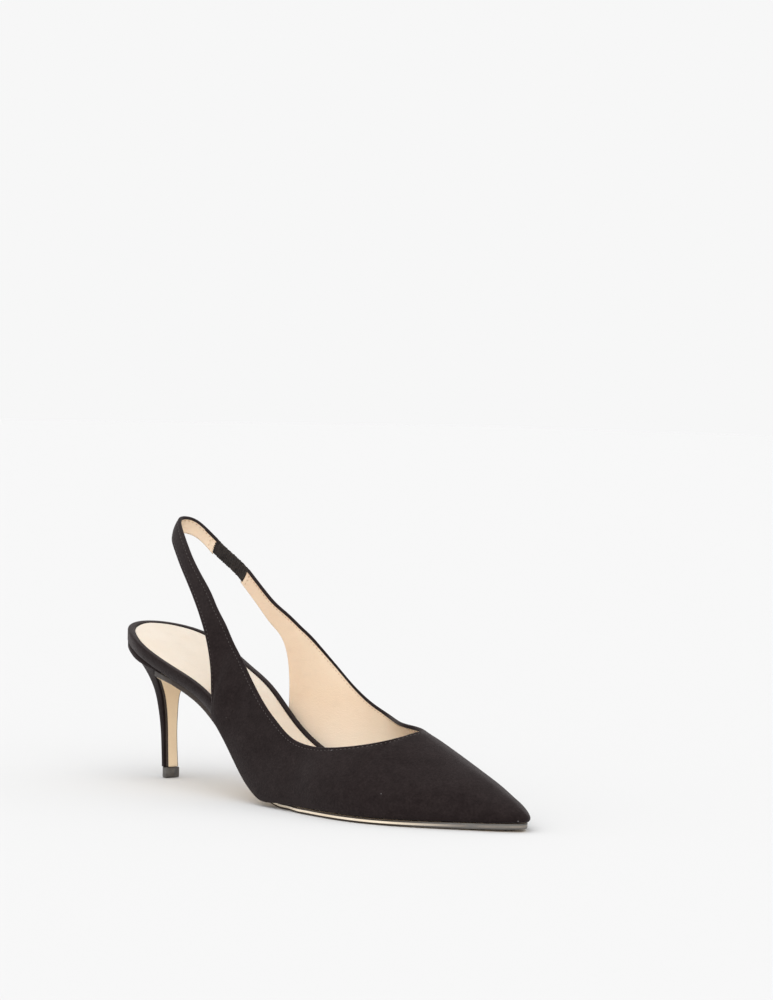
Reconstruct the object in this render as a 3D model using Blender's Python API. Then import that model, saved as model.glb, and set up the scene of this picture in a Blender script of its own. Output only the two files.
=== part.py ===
"""Slingback pump, right shoe: pointed vamp, low quarters, sling strap with a short elastic, slender heel.

Metres, +Z up, X towards the toe, Y towards the inner side of the foot. The forms are worked out along
the last: a station is a share of LENGTH, from 0 at the back of the insole to 1 at the tip of the toe.
Rows hold lengths as shares of the named sizes, and a smooth curve runs through the rows of a table.
"""
import math

import bmesh
import bpy
import numpy as np

# Sizes of the last
LENGTH = 0.255
BALL_WIDTH = 0.072
HEEL_RISE = 0.0665
TOE_SPRING = 0.001
SEAT_ROUND = 0.033
TOE_ROUND = 0.0128
TREAD_BACK_SHARE = 0.66
TREAD_FRONT_SHARE = 0.76

# Sizes of the upper
WALL = 0.0018
INSTEP_RISE = 0.035
FEATHER_SWELL = 0.0026
WAIST_DROP = 0.0034
LOOP_RISE = 0.066
LOOP_MIDDLE_SHARE = 0.22
THROAT_SHARE = 0.7525
ELASTIC_WALL = 0.0012
ELASTIC_SHARE = 0.86
ELASTIC_LIFT_SHARE = 0.05

# Sizes of the bottom
CLEARANCE = 0.0003
SOLE_THICKNESS = 0.0025
WAIST_THICKNESS = 0.0030
FLAP_THICKNESS = 0.0012
SOLE_EDGE_OUT = 0.0017
WAIST_EDGE_IN = 0.0010
INSOLE_BACK = 0.0050
INSOLE_FRONT = 0.0032
INSOLE_TOE = 0.0018
RIM_WIDTH = 0.0034
RIM_TOE_WIDTH = 0.0022
RIM_HEIGHT = 0.0012
SOCK_THICKNESS = 0.0007
SOCK_END_SHARE = 0.90

# Sizes of the heel
SEAT_LENGTH = 0.044
CUP_HEIGHT = 0.0034
LIP_THICKNESS = 0.0008
HEEL_TIP_WIDTH = 0.0084
SEAT_INSET = 0.0004
FLAP_MARGIN = 0.0008
FLAP_BEND = 0.008
TOP_LIFT_HEIGHT = 0.0050
TOP_LIFT_INSET = 0.0002

# How finely the forms are cut
BOTTOM_ROWS = 48
FLAP_ROWS = 16
VAMP_ROWS = 16
ROW_STEPS = 3
WALL_COLUMNS = 8
SEAT_STEPS = 12

OUTER = -1
INNER = 1

# The insole's underside: its middle and half width as shares of half the ball width, its rise as a
# share of HEEL_RISE, and how much it tilts down towards the outer side
LAST_COLUMNS = ("along", "centre", "half", "rise", "cant")
LAST = (
    (0.00, 0.03, 0.73, 1.000, 0.00),
    (0.06, 0.03, 0.73, 0.935, 0.00),
    (0.14, 0.02, 0.73, 0.815, 0.00),
    (0.22, -0.05, 0.66, 0.714, 0.01),
    (0.30, -0.10, 0.61, 0.584, 0.01),
    (0.38, -0.14, 0.60, 0.355, 0.02),
    (0.46, -0.15, 0.69, 0.150, 0.08),
    (0.54, -0.09, 0.83, 0.036, 0.07),
    (0.62, -0.02, 0.94, 0.005, 0.01),
    (0.66, 0.00, 0.98, 0.000, 0.00),
    (0.71, 0.01, 1.00, 0.000, 0.00),
    (0.80, 0.03, 0.90, 0.000, 0.00),
    (0.90, 0.10, 0.56, 0.000, 0.00),
    (0.95, 0.13, 0.34, 0.000, 0.00),
    (1.00, 0.15, 0.16, 0.000, 0.00),
)

# The ridge of the vamp, and its line carried on over the instep: its place across as a share of half
# the ball width, and its height over the insole's underside as a share of INSTEP_RISE
RIDGE_COLUMNS = ("along", "out", "up")
RIDGE = (
    (0.58, 0.00, 1.44),
    (0.66, 0.02, 1.25),
    (0.7525, 0.08, 1.00),
    (0.82, 0.12, 0.77),
    (0.86, 0.13, 0.64),
    (0.90, 0.14, 0.515),
    (0.94, 0.15, 0.375),
    (0.97, 0.15, 0.275),
    (1.00, 0.15, 0.18),
)
SIDE_SHARE = 0.42
FLARE_SHARE = 0.05
CROWN_SHARE = 0.33
TIP_SHARE = 0.60

# Where the topline crosses the vamp's own sections beside the throat: the station and the height as a
# share of INSTEP_RISE
OUTER_CUTS = ((0.737, 0.907), (0.700, 0.830), (0.650, 0.775))
INNER_CUTS = ((0.730, 1.000), (0.690, 1.012), (0.650, 1.026))

# The quarters, from the throat back to the corner where the sling strap starts: the station of the
# lower edge, the topline's place, and how far the wall bellies out, low down and high up
# low, along, out, up, belly_low, belly_high
OUTER_QUARTER = (
    (0.600, 0.600, 0.780, 0.754, 0.11, 0.03),
    (0.555, 0.553, 0.765, 0.781, 0.12, 0.03),
    (0.510, 0.512, 0.736, 0.861, 0.13, 0.03),
    (0.465, 0.475, 0.708, 0.932, 0.13, 0.03),
    (0.420, 0.443, 0.672, 0.992, 0.12, 0.03),
    (0.375, 0.412, 0.625, 1.040, 0.12, 0.03),
    (0.335, 0.381, 0.572, 1.078, 0.16, 0.03),
)
INNER_QUARTER = (
    (0.600, 0.578, 0.800, 1.022, 0.10, 0.03),
    (0.555, 0.535, 0.861, 1.054, 0.08, 0.02),
    (0.510, 0.499, 0.861, 1.090, 0.07, 0.02),
    (0.470, 0.465, 0.833, 1.146, 0.06, 0.02),
    (0.430, 0.438, 0.778, 1.222, 0.06, 0.02),
    (0.385, 0.410, 0.708, 1.296, 0.06, 0.02),
    (0.338, 0.383, 0.647, 1.340, 0.06, 0.02),
)

# The sling strap's two edges, as stations, shares of half the ball width and shares of LOOP_RISE, and
# how far its outer face bellies out
# low_along, low_out, low_up, along, out, up, belly
OUTER_STRAP = (
    (0.331, 0.770, 0.181, 0.353, 0.533, 0.580, 0.00),
    (0.315, 0.700, 0.300, 0.330, 0.506, 0.608, 0.00),
    (0.294, 0.639, 0.407, 0.310, 0.483, 0.631, 0.00),
    (0.272, 0.589, 0.482, 0.290, 0.467, 0.662, 0.00),
    (0.244, 0.528, 0.559, 0.266, 0.444, 0.718, 0.00),
    (0.209, 0.472, 0.661, 0.234, 0.417, 0.787, 0.01),
    (0.179, 0.422, 0.739, 0.205, 0.394, 0.865, 0.02),
    (0.150, 0.360, 0.813, 0.177, 0.350, 0.948, 0.03),
    (0.124, 0.262, 0.862, 0.143, 0.250, 1.022, 0.04),
    (0.114, 0.085, 0.884, 0.124, 0.083, 1.034, 0.04),
    (0.121, -0.111, 0.880, 0.130, -0.106, 1.024, 0.03),
    (0.136, -0.239, 0.840, 0.146, -0.240, 0.976, 0.02),
    (0.151, -0.306, 0.793, 0.165, -0.335, 0.918, 0.01),
)
INNER_STRAP = (
    (0.337, 0.561, 0.307, 0.362, 0.611, 0.706, 0.00),
    (0.325, 0.572, 0.434, 0.341, 0.589, 0.698, 0.00),
    (0.307, 0.567, 0.485, 0.321, 0.561, 0.692, 0.00),
    (0.281, 0.550, 0.508, 0.298, 0.528, 0.693, 0.00),
    (0.250, 0.511, 0.576, 0.270, 0.500, 0.727, 0.01),
    (0.209, 0.461, 0.676, 0.230, 0.456, 0.811, 0.01),
)

# The heel below its cup: its height from the top-lift to the cup as a share, its back and breast as
# shares of SEAT_LENGTH, and its half width as a share of half the tip's width
HEEL_COLUMNS = ("up", "back", "front", "half")
HEEL = (
    (0.00, 0.430, 0.531, 1.00),
    (0.18, 0.405, 0.510, 0.97),
    (0.36, 0.370, 0.495, 0.98),
    (0.52, 0.320, 0.484, 1.12),
    (0.66, 0.255, 0.475, 1.45),
    (0.78, 0.165, 0.498, 2.24),
    (0.88, 0.080, 0.580, 3.45),
    (0.95, 0.036, 0.716, 4.75),
)


def smooth_curve(at, values):
    """Returns the natural cubic curve through the values, as a function of the place along it."""
    at = np.array(at, float)
    count = len(at)
    shape = np.shape(values)[1:]
    values = np.array(values, float).reshape(count, -1)
    gap = np.diff(at)
    slope = np.diff(values, axis=0) / gap[:, None]
    system = np.eye(count)
    bend = np.zeros(values.shape)
    for row in range(1, count - 1):
        system[row, row - 1:row + 2] = gap[row - 1], 2 * (gap[row - 1] + gap[row]), gap[row]
        bend[row] = 6 * (slope[row] - slope[row - 1])
    bend = np.linalg.solve(system, bend)

    def curve(place):
        row = int(np.clip(np.searchsorted(at, place) - 1, 0, count - 2))
        width = gap[row]
        after = place - at[row]
        before = at[row + 1] - place
        bent = (bend[row] * before ** 3 + bend[row + 1] * after ** 3) / (6 * width)
        start = values[row] / width - bend[row] * width / 6
        end = values[row + 1] / width - bend[row + 1] * width / 6
        return (bent + start * before + end * after).reshape(shape)

    return curve


def table_curves(columns, rows):
    """Returns a smooth curve for each named column, along the first column."""
    at = [row[0] for row in rows]
    return {name: smooth_curve(at, [row[index + 1] for row in rows])
            for index, name in enumerate(columns[1:])}


def ease(value, start, end):
    """Goes smoothly from 0 at the start to 1 at the end."""
    share = min(1.0, max(0.0, (value - start) / (end - start)))
    return share * share * (3 - 2 * share)


HALF_BALL = BALL_WIDTH / 2
LAST_CURVES = table_curves(LAST_COLUMNS, LAST)
RIDGE_CURVES = table_curves(RIDGE_COLUMNS, RIDGE)
HEEL_CURVES = table_curves(HEEL_COLUMNS, HEEL)
UPPER_OUT = CLEARANCE + WALL


def middle(along):
    return LAST_CURVES["centre"](along) * HALF_BALL


def roundness(along):
    """Draws the outline in to a round end at the toe and at the back of the seat."""
    toe = max(0.0, (along - 1) * LENGTH / TOE_ROUND + 1)
    seat = max(0.0, 1 - along * LENGTH / SEAT_ROUND)
    return math.sqrt(max(0.0, 1 - toe ** 2)) * math.sqrt(max(0.0, 1 - seat ** 2))


def spring(along):
    """The toe's lift over the ground, in front of the flat tread."""
    return TOE_SPRING * max(0.0, (along - TREAD_FRONT_SHARE) / (1 - TREAD_FRONT_SHARE)) ** 2


def underside(x, y):
    """Height of the insole's underside."""
    along = x / LENGTH
    height = SOLE_THICKNESS + CLEARANCE + spring(along)
    if along < TREAD_BACK_SHARE:
        rise = LAST_CURVES["rise"](along) * HEEL_RISE
        height += max(0.0, rise + LAST_CURVES["cant"](along) * (y - middle(along)))
    return height


def slant(x):
    """How much longer an upright height is than the thickness it stands for, on the sloping seat."""
    step = LENGTH / 100
    slope = (underside(x + step, 0) - underside(x - step, 0)) / (2 * step)
    return math.sqrt(1 + slope ** 2)


def station(turn):
    """The station at a share of the way round a side, from 0 at the toe to 1 at the back."""
    return (1 + math.cos(math.pi * turn)) / 2


def turn_at(along):
    return math.acos(2 * along - 1) / math.pi


def outline_point(turn, side):
    along = station(turn)
    passed_end = -1 if turn < 0 or turn > 1 else 1
    half = LAST_CURVES["half"](along) * HALF_BALL * roundness(along) * passed_end
    return np.array((along * LENGTH, middle(along) + side * half))


def rim(turn, side, out=0.0):
    """A point of the insole's outline in plan, moved outwards at right angles to it."""
    step = 0.001
    ahead = outline_point(turn + step, side) - outline_point(turn - step, side)
    ahead /= np.linalg.norm(ahead)
    outwards = np.array((-ahead[1], ahead[0])) * -side
    return outline_point(turn, side) + outwards * out


def rim_place(turn, side, out=0.0, up=0.0):
    x, y = rim(turn, side, out)
    return np.array((x, y, underside(x, y) + up))


def across(start, end, shares):
    """Points on the straight line between two points."""
    return [start + (end - start) * share for share in shares]


def new_material(name, colour, roughness):
    material = bpy.data.materials.new(name)
    material.use_nodes = True
    shader = material.node_tree.nodes["Principled BSDF"]
    shader.inputs["Base Color"].default_value = (*colour, 1)
    shader.inputs["Roughness"].default_value = roughness
    shader.inputs["Metallic"].default_value = 0
    return material


def new_piece(name, points, faces, material):
    """Makes one closed object, with its faces pointing out."""
    mesh = bpy.data.meshes.new(name)
    body = bmesh.new()
    corners = [body.verts.new(point) for point in points]
    for face in faces:
        body.faces.new([corners[index] for index in face])
    bmesh.ops.remove_doubles(body, verts=body.verts, dist=1e-7)
    bmesh.ops.recalc_face_normals(body, faces=body.faces)
    if body.calc_volume(signed=True) < 0:
        bmesh.ops.reverse_faces(body, faces=body.faces)
    body.to_mesh(mesh)
    body.free()
    mesh.shade_smooth()
    mesh.set_sharp_from_angle(angle=math.radians(35))
    mesh.materials.append(material)
    piece = bpy.data.objects.new(name, mesh)
    bpy.context.scene.collection.objects.link(piece)
    return piece


def grid_faces(rows, columns, first, flip):
    faces = []
    for row in range(rows - 1):
        for column in range(columns - 1):
            corner = first + row * columns + column
            face = (corner, corner + 1, corner + columns + 1, corner + columns)
            faces.append(face[::-1] if flip else face)
    return faces


def slab(name, top, bottom, open_ends, material):
    """Closes the space between two grids of points; an end that isn't open is pinched to an edge."""
    top = np.array(top)
    bottom = np.array(bottom)
    rows, columns = top.shape[:2]
    under = rows * columns
    points = np.concatenate([top.reshape(-1, 3), bottom.reshape(-1, 3)])
    faces = grid_faces(rows, columns, 0, False) + grid_faces(rows, columns, under, True)
    for row in range(rows - 1):
        for column in (0, columns - 1):
            corner = row * columns + column
            faces.append((corner, corner + columns, under + corner + columns, under + corner))
    for row, is_open in ((0, open_ends[0]), (rows - 1, open_ends[1])):
        if is_open:
            for column in range(columns - 1):
                corner = row * columns + column
                faces.append((corner, corner + 1, under + corner + 1, under + corner))
    return new_piece(name, points, faces, material)


def insole_depth(x):
    along = x / LENGTH
    back = (INSOLE_BACK - INSOLE_FRONT) * ease(along, 0.62, 0.44)
    toe = (INSOLE_FRONT - INSOLE_TOE) * ease(along, 0.88, 0.96)
    return (INSOLE_FRONT + back - toe) * slant(x)


def rim_width(along):
    """Width of the wrapped rim, which is narrower where the toe gets thin."""
    return RIM_WIDTH + (RIM_TOE_WIDTH - RIM_WIDTH) * ease(along, 0.80, 0.90)


def insole_row(turn):
    """The insole's upper face across one station: its rim, then the floor sunk for the sock."""
    row = []
    width = rim_width(station(turn))
    for side in (OUTER, INNER):
        edge = [rim_place(turn, side, -inset) for inset in (0.0, width, width + CLEARANCE)]
        for index, point in enumerate(edge):
            point[2] += insole_depth(point[0]) - (RIM_HEIGHT if index == 2 else 0.0)
        row.append(edge)
    outer, inner = row
    floor = across(outer[2], inner[2], (0.25, 0.5, 0.75))
    for point in floor:
        point[2] = underside(point[0], point[1]) + insole_depth(point[0]) - RIM_HEIGHT
    return outer + floor + inner[::-1]


def make_insole(material):
    turns = [row / BOTTOM_ROWS for row in range(BOTTOM_ROWS + 1)]
    top = [insole_row(turn) for turn in turns]
    bottom = [[(x, y, underside(x, y)) for x, y, z in row] for row in top]
    return slab("insole", top, bottom, (False, False), material)


def make_sock(material):
    """The sock lies in the insole's rim and ends under the vamp."""
    first = turn_at(SOCK_END_SHARE)
    top = []
    bottom = []
    for row in range(BOTTOM_ROWS + 1):
        turn = first + (1 - first) * row / BOTTOM_ROWS
        inset = rim_width(station(turn)) + 2 * CLEARANCE
        edges = [rim(turn, side, -inset) for side in (OUTER, INNER)]
        plan = across(edges[0], edges[1], (0.0, 0.25, 0.5, 0.75, 1.0))
        floor = [underside(x, y) + insole_depth(x) - RIM_HEIGHT + CLEARANCE for x, y in plan]
        bottom.append([(x, y, z) for (x, y), z in zip(plan, floor)])
        top.append([(x, y, z + SOCK_THICKNESS) for (x, y), z in zip(plan, floor)])
    return slab("sock_lining", top, bottom, (True, False), material)


def cup_depth(x):
    """How deep the heel's cup is under the insole; it thins to a lip at the breast."""
    return (CUP_HEIGHT + (LIP_THICKNESS - CUP_HEIGHT) * ease(x, 0.45 * SEAT_LENGTH, SEAT_LENGTH)) * slant(x)


def heel_height(x, up):
    """Height of a point of the heel that is the given share of the way from top-lift to cup."""
    foot = TOP_LIFT_HEIGHT + CLEARANCE
    return foot + up * (underside(x, 0) - CLEARANCE - cup_depth(x) - foot)


def heel_size(up):
    """Back, breast and half width of the heel's section."""
    return (HEEL_CURVES["back"](up) * SEAT_LENGTH, HEEL_CURVES["front"](up) * SEAT_LENGTH,
            HEEL_CURVES["half"](up) * HEEL_TIP_WIDTH / 2)


def stem_section(up, spread=0.0, forward=0.0):
    """A D-shaped section: from the outer corner of the breast round the back to the inner one."""
    back, front, half = heel_size(up)
    centre = middle(0) * up
    section = []
    for step in range(-SEAT_STEPS, SEAT_STEPS + 1):
        angle = (step + SEAT_STEPS) / (2 * SEAT_STEPS) * math.pi
        reach = math.sin(angle)
        width = -math.copysign(abs(math.cos(angle)) ** 0.8, math.cos(angle))
        x = front + forward + spread - (front + forward - back + 2 * spread) * reach
        y = centre + (half + spread) * width
        section.append((x, y, heel_height(x, up)))
    return section


def seat_section(inset, under):
    """A section along the insole's own outline, from the lip round the back."""
    first = turn_at(SEAT_LENGTH / LENGTH)
    turns = [first + (1 - first) * step / SEAT_STEPS for step in range(SEAT_STEPS + 1)]
    outer = [rim(turn, OUTER, -inset) for turn in turns]
    inner = [rim(turn, INNER, -inset) for turn in turns[:-1]]
    return [(x, y, underside(x, y) - CLEARANCE - under(x)) for x, y in outer + inner[::-1]]


def loft(name, sections, material):
    """Joins sections of equal count, and closes the first and last straight across."""
    count = len(sections[0])
    points = [point for section in sections for point in section]
    faces = []
    for level in range(len(sections) - 1):
        for step in range(count):
            here = level * count + step
            there = level * count + (step + 1) % count
            faces.append((here, there, there + count, here + count))
    for first in (0, (len(sections) - 1) * count):
        for step in range(count // 2):
            face = (step, step + 1, count - 2 - step, count - 1 - step)
            faces.append([first + index for index in dict.fromkeys(face)])
    return new_piece(name, points, faces, material)


def make_heel(material):
    shares = [row[0] for row in HEEL]
    ups = [start + (end - start) * step / 2 for start, end in zip(shares, shares[1:]) for step in (0, 1)]
    sections = [stem_section(up) for up in ups + [shares[-1]]]
    sections.append(seat_section(2 * SEAT_INSET, cup_depth))
    sections.append(seat_section(SEAT_INSET, lambda x: 0.0))
    return loft("heel", sections, material)


def make_top_lift(material):
    """The rubber piece under the heel, which also reaches under the foot of the breast cover."""
    section = stem_section(0.0, -TOP_LIFT_INSET, CLEARANCE + FLAP_THICKNESS)
    sections = [[(x, y, height) for x, y, z in section] for height in (0.0, TOP_LIFT_HEIGHT)]
    return loft("top_lift", sections, material)


def sole_thickness(along):
    blend = ease(along, 0.54, 0.42)
    return SOLE_THICKNESS + (WAIST_THICKNESS - SOLE_THICKNESS) * blend


def sole_edge(along):
    """How far the outsole's edge stands out from the insole's."""
    blend = ease(along, 0.62, 0.565)
    return SOLE_EDGE_OUT - (SOLE_EDGE_OUT + WAIST_EDGE_IN) * blend


def sole_rows():
    """Left edge, right edge and thickness of the outsole, from the toe back to the heel."""
    last = turn_at((SEAT_LENGTH + FLAP_BEND) / LENGTH)
    rows = []
    for row in range(BOTTOM_ROWS + 1):
        turn = last * row / BOTTOM_ROWS
        along = station(turn)
        edges = [rim_place(turn, side, sole_edge(along), -CLEARANCE) for side in (OUTER, INNER)]
        rows.append((edges[0], edges[1], sole_thickness(along)))
    return rows


def breast_rows():
    """The same for the flap that runs on down the heel's breast."""
    top_share = HEEL[-1][0]
    ups = [top_share * (1 - step / FLAP_ROWS) for step in range(FLAP_ROWS + 1)]
    places = [np.array((heel_size(up)[1], heel_height(heel_size(up)[1], up))) for up in ups]
    rows = []
    for index, up in enumerate(ups):
        before = places[max(0, index - 1)]
        after = places[min(len(places) - 1, index + 1)]
        ahead = (after - before) / np.linalg.norm(after - before)
        x, z = places[index] + np.array((-ahead[1], ahead[0])) * CLEARANCE
        half = heel_size(up)[2] - FLAP_MARGIN
        centre = middle(0) * up
        thickness = FLAP_THICKNESS + (WAIST_THICKNESS - FLAP_THICKNESS) * ease(up, 0.7, top_share)
        rows.append((np.array((x, centre - half, z)), np.array((x, centre + half, z)), thickness))
    return rows


def make_outsole(material):
    rows = sole_rows() + breast_rows()
    middles = [(outer + inner) / 2 for outer, inner, thickness in rows]
    top = []
    bottom = []
    for index, (outer, inner, thickness) in enumerate(rows):
        ahead = middles[min(len(rows) - 1, index + 1)] - middles[max(0, index - 1)]
        ahead /= math.hypot(ahead[0], ahead[2])
        down = np.array((-ahead[2], 0.0, ahead[0])) * thickness
        row = across(outer, inner, (0.0, 0.12, 0.31, 0.5, 0.69, 0.88, 1.0))
        top.append(row)
        bottom.append([point + down for point in row])
    foot = TOP_LIFT_HEIGHT + CLEARANCE
    bottom[-1] = [np.array((point[0], point[1], foot)) for point in bottom[-1]]
    return slab("outsole", top, bottom, (False, True), material)


def lower_edge(turn, side):
    """The upper's lower edge, which hangs down beside the outsole at the waist."""
    drop = WAIST_DROP * ease(station(turn), 0.56, 0.49) * ease(station(turn), 0.32, 0.46)
    return rim_place(turn, side, UPPER_OUT, -drop)


def arch(turn, side):
    """Corners of the vamp's section curve at one station, from the lower edge to the ridge."""
    along = station(turn)
    low = lower_edge(turn, side)
    rounded = math.sqrt(max(0.0, 1 - max(0.0, (along - 1) * LENGTH / TOE_ROUND + 1) ** 2))
    height = RIDGE_CURVES["up"](along) * INSTEP_RISE * (TIP_SHARE + (1 - TIP_SHARE) * rounded)
    front = (low[0] + rim(turn, -side, UPPER_OUT)[0]) / 2
    top = np.array((front, RIDGE_CURVES["out"](along) * HALF_BALL, 0.0))
    top[2] = underside(along * LENGTH, middle(along)) + height
    width = abs(top[1] - low[1])
    outwards = rim_place(turn, side, UPPER_OUT + FEATHER_SWELL) - rim_place(turn, side, UPPER_OUT)
    wall = low + outwards + np.array((0.0, side * FLARE_SHARE * width, SIDE_SHARE * (top[2] - low[2])))
    crown = top + np.array((0.0, side * CROWN_SHARE * width, 0.0))
    return np.array((low, wall, crown, top))


def curve_point(corners, share):
    """A point of the cubic curve with four corners."""
    left = 1 - share
    weights = (left ** 3, 3 * left ** 2 * share, 3 * left * share ** 2, share ** 3)
    return sum(weight * corner for weight, corner in zip(weights, corners))


def curve_start(corners, share):
    """Corners of the first part of a cubic curve."""
    rows = [np.array(corners)]
    while len(rows[-1]) > 1:
        rows.append(rows[-1][:-1] + (rows[-1][1:] - rows[-1][:-1]) * share)
    return np.array([row[0] for row in rows])


def cut_arch(along, up, side):
    """Corners of the section below the topline, which crosses it at the given height."""
    corners = arch(turn_at(along), side)
    height = underside(along * LENGTH, middle(along)) + up * INSTEP_RISE
    low, high = 0.0, 1.0
    for halving in range(30):
        share = (low + high) / 2
        if curve_point(corners, share)[2] < height:
            low = share
        else:
            high = share
    return curve_start(corners, share)


def bellies(corners):
    """How far a section's two middle corners stand off the straight line between its ends."""
    low, wall, crown, top = corners
    third = (top - low) / 3
    return wall - low - third, crown - top + third


def place_of(along, out, up, side, height_size):
    """A table's place as a point: station, share across, and height over the insole's underside."""
    x = along * LENGTH
    return np.array((x, side * out * HALF_BALL, underside(x, middle(along)) + up * height_size))


def away_from_loop(place):
    """The level direction from the middle of the sling's loop to a point of the strap."""
    away = place - np.array((LOOP_MIDDLE_SHARE * LENGTH, middle(LOOP_MIDDLE_SHARE), place[2]))
    return away / np.linalg.norm(away)


def wall_rows(side, cuts, quarter, strap):
    """Rows of the wall behind the throat: lower edge, topline and the two bellies."""
    lows = [THROAT_SHARE]
    tops = []
    swells = []
    for along, up in ((THROAT_SHARE, RIDGE_CURVES["up"](THROAT_SHARE)),) + cuts:
        corners = cut_arch(along, up, side)
        tops.append(corners[3])
        swells.append(bellies(corners))
    lows += [along for along, up in cuts]
    for low, along, out, up, belly_low, belly_high in quarter:
        lows.append(low)
        tops.append(place_of(along, out, up, side, INSTEP_RISE))
        outwards = np.array((0.0, side * HALF_BALL, 0.0))
        swells.append((outwards * belly_low, outwards * belly_high))
    edge = [lower_edge(turn_at(lows[-1]), side)]
    for low_along, low_out, low_up, along, out, up, belly in strap:
        edge.append(place_of(low_along, low_out, low_up, side, LOOP_RISE))
        tops.append(place_of(along, out, up, side, LOOP_RISE))
        swells.append([away_from_loop(tops[-1]) * belly * HALF_BALL] * 2)
    return lows, edge, tops, swells


def side_sections(side, cuts, quarter, strap):
    """Corner points of every section behind the throat, from smooth curves through the rows."""
    lows, edge, tops, swells = wall_rows(side, cuts, quarter, strap)
    corner_row = len(lows) - 1
    low_curve = smooth_curve(range(len(lows)), lows)
    edge_curve = smooth_curve(range(len(edge)), edge)
    top_curve = smooth_curve(range(len(tops)), tops)
    swell_curve = smooth_curve(range(len(swells)), swells)
    sections = []
    for step in range(ROW_STEPS * (len(tops) - 1) + 1):
        row = step / ROW_STEPS
        if row <= corner_row:
            low = lower_edge(turn_at(low_curve(row)), side)
        else:
            low = edge_curve(row - corner_row)
        top = top_curve(row)
        belly_low, belly_high = swell_curve(row)
        third = (top - low) / 3
        sections.append((np.array((low, low + third + belly_low, top - third + belly_high, top)),
                         row <= corner_row))
    return sections


def section_points(corners):
    return [curve_point(corners, column / WALL_COLUMNS) for column in range(WALL_COLUMNS + 1)]


def upper_grids():
    """The upper's outer face: a grid for each side, from the toe, and which rows stand on the sole."""
    grids = {}
    vamp_turns = [turn_at(THROAT_SHARE) * row / VAMP_ROWS for row in range(VAMP_ROWS)]
    for side, cuts, quarter, strap in ((OUTER, OUTER_CUTS, OUTER_QUARTER, OUTER_STRAP),
                                       (INNER, INNER_CUTS, INNER_QUARTER, INNER_STRAP)):
        rows = [section_points(arch(turn, side)) for turn in vamp_turns]
        on_sole = [True] * len(rows)
        for corners, stands in side_sections(side, cuts, quarter, strap):
            rows.append(section_points(corners))
            on_sole.append(stands)
        grids[side] = (np.array(rows), on_sole)
    return grids


def inner_face(grid, normals, on_sole, wall):
    """Moves a grid's points inwards by the wall, level along the lower edge on the sole."""
    inward = normals.copy()
    for row, stands in enumerate(on_sole):
        if stands:
            inward[row, 0, 2] = 0.0
            inward[row, 0] /= np.linalg.norm(inward[row, 0])
    return grid - inward * wall


def sheet_normals(grid, side, mirror):
    """Outward directions of a grid. Across the toe and the ridge the other side's points are used."""
    rows, columns = grid.shape[:2]
    along = np.zeros(grid.shape)
    upwards = np.zeros(grid.shape)
    for row in range(rows):
        before = grid[row - 1] if row else mirror[1]
        after = grid[min(rows - 1, row + 1)]
        along[row] = after - before
    along[0, -1] = along[0, -2]
    along[VAMP_ROWS, -1] = grid[VAMP_ROWS, -1] - grid[VAMP_ROWS - 1, -1]
    upwards[:, 1:-1] = grid[:, 2:] - grid[:, :-2]
    upwards[:, 0] = grid[:, 1] - grid[:, 0]
    upwards[:, -1] = grid[:, -1] - grid[:, -2]
    upwards[:VAMP_ROWS + 1, -1] = mirror[:VAMP_ROWS + 1, -2] - grid[:VAMP_ROWS + 1, -2]
    upwards[0, -1] = grid[1, -1] - grid[0, -2]
    normals = np.cross(along, upwards) * side
    return normals / np.linalg.norm(normals, axis=2)[:, :, None]


def make_upper(material):
    """One hollow wall: vamp, quarters, sling strap and stub, open underneath and at the topline."""
    grids = upper_grids()
    outer_points = []
    inner_points = []
    faces = []
    count = sum(grid.shape[0] * grid.shape[1] for grid, on_sole in grids.values())
    for side in (OUTER, INNER):
        grid, on_sole = grids[side]
        normals = sheet_normals(grid, side, grids[-side][0])
        rows, columns = grid.shape[:2]
        first = len(outer_points)
        outer_points += list(grid.reshape(-1, 3))
        inner_points += list(inner_face(grid, normals, on_sole, WALL).reshape(-1, 3))
        faces += grid_faces(rows, columns, first, side == OUTER)
        faces += grid_faces(rows, columns, count + first, side == INNER)
        edges = [(row * columns, (row + 1) * columns) for row in range(rows - 1)]
        edges += [(row * columns + columns - 1, (row + 1) * columns + columns - 1)
                  for row in range(VAMP_ROWS, rows - 1)]
        edges += [((rows - 1) * columns + column, (rows - 1) * columns + column + 1)
                  for column in range(columns - 1)]
        for start, end in edges:
            faces.append((first + start, first + end, count + first + end, count + first + start))
    return new_piece("upper", outer_points + inner_points, faces, material)


def end_section(side, cuts, quarter, strap):
    """Lower and upper corner of a strap's last section, and the way the strap runs on there."""
    sections = [corners for corners, stands in side_sections(side, cuts, quarter, strap)]
    low, top = sections[-1][0], sections[-1][3]
    ahead = (low + top - sections[-2][0] - sections[-2][3]) / 2
    return low, top, ahead / np.linalg.norm(ahead)


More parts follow.
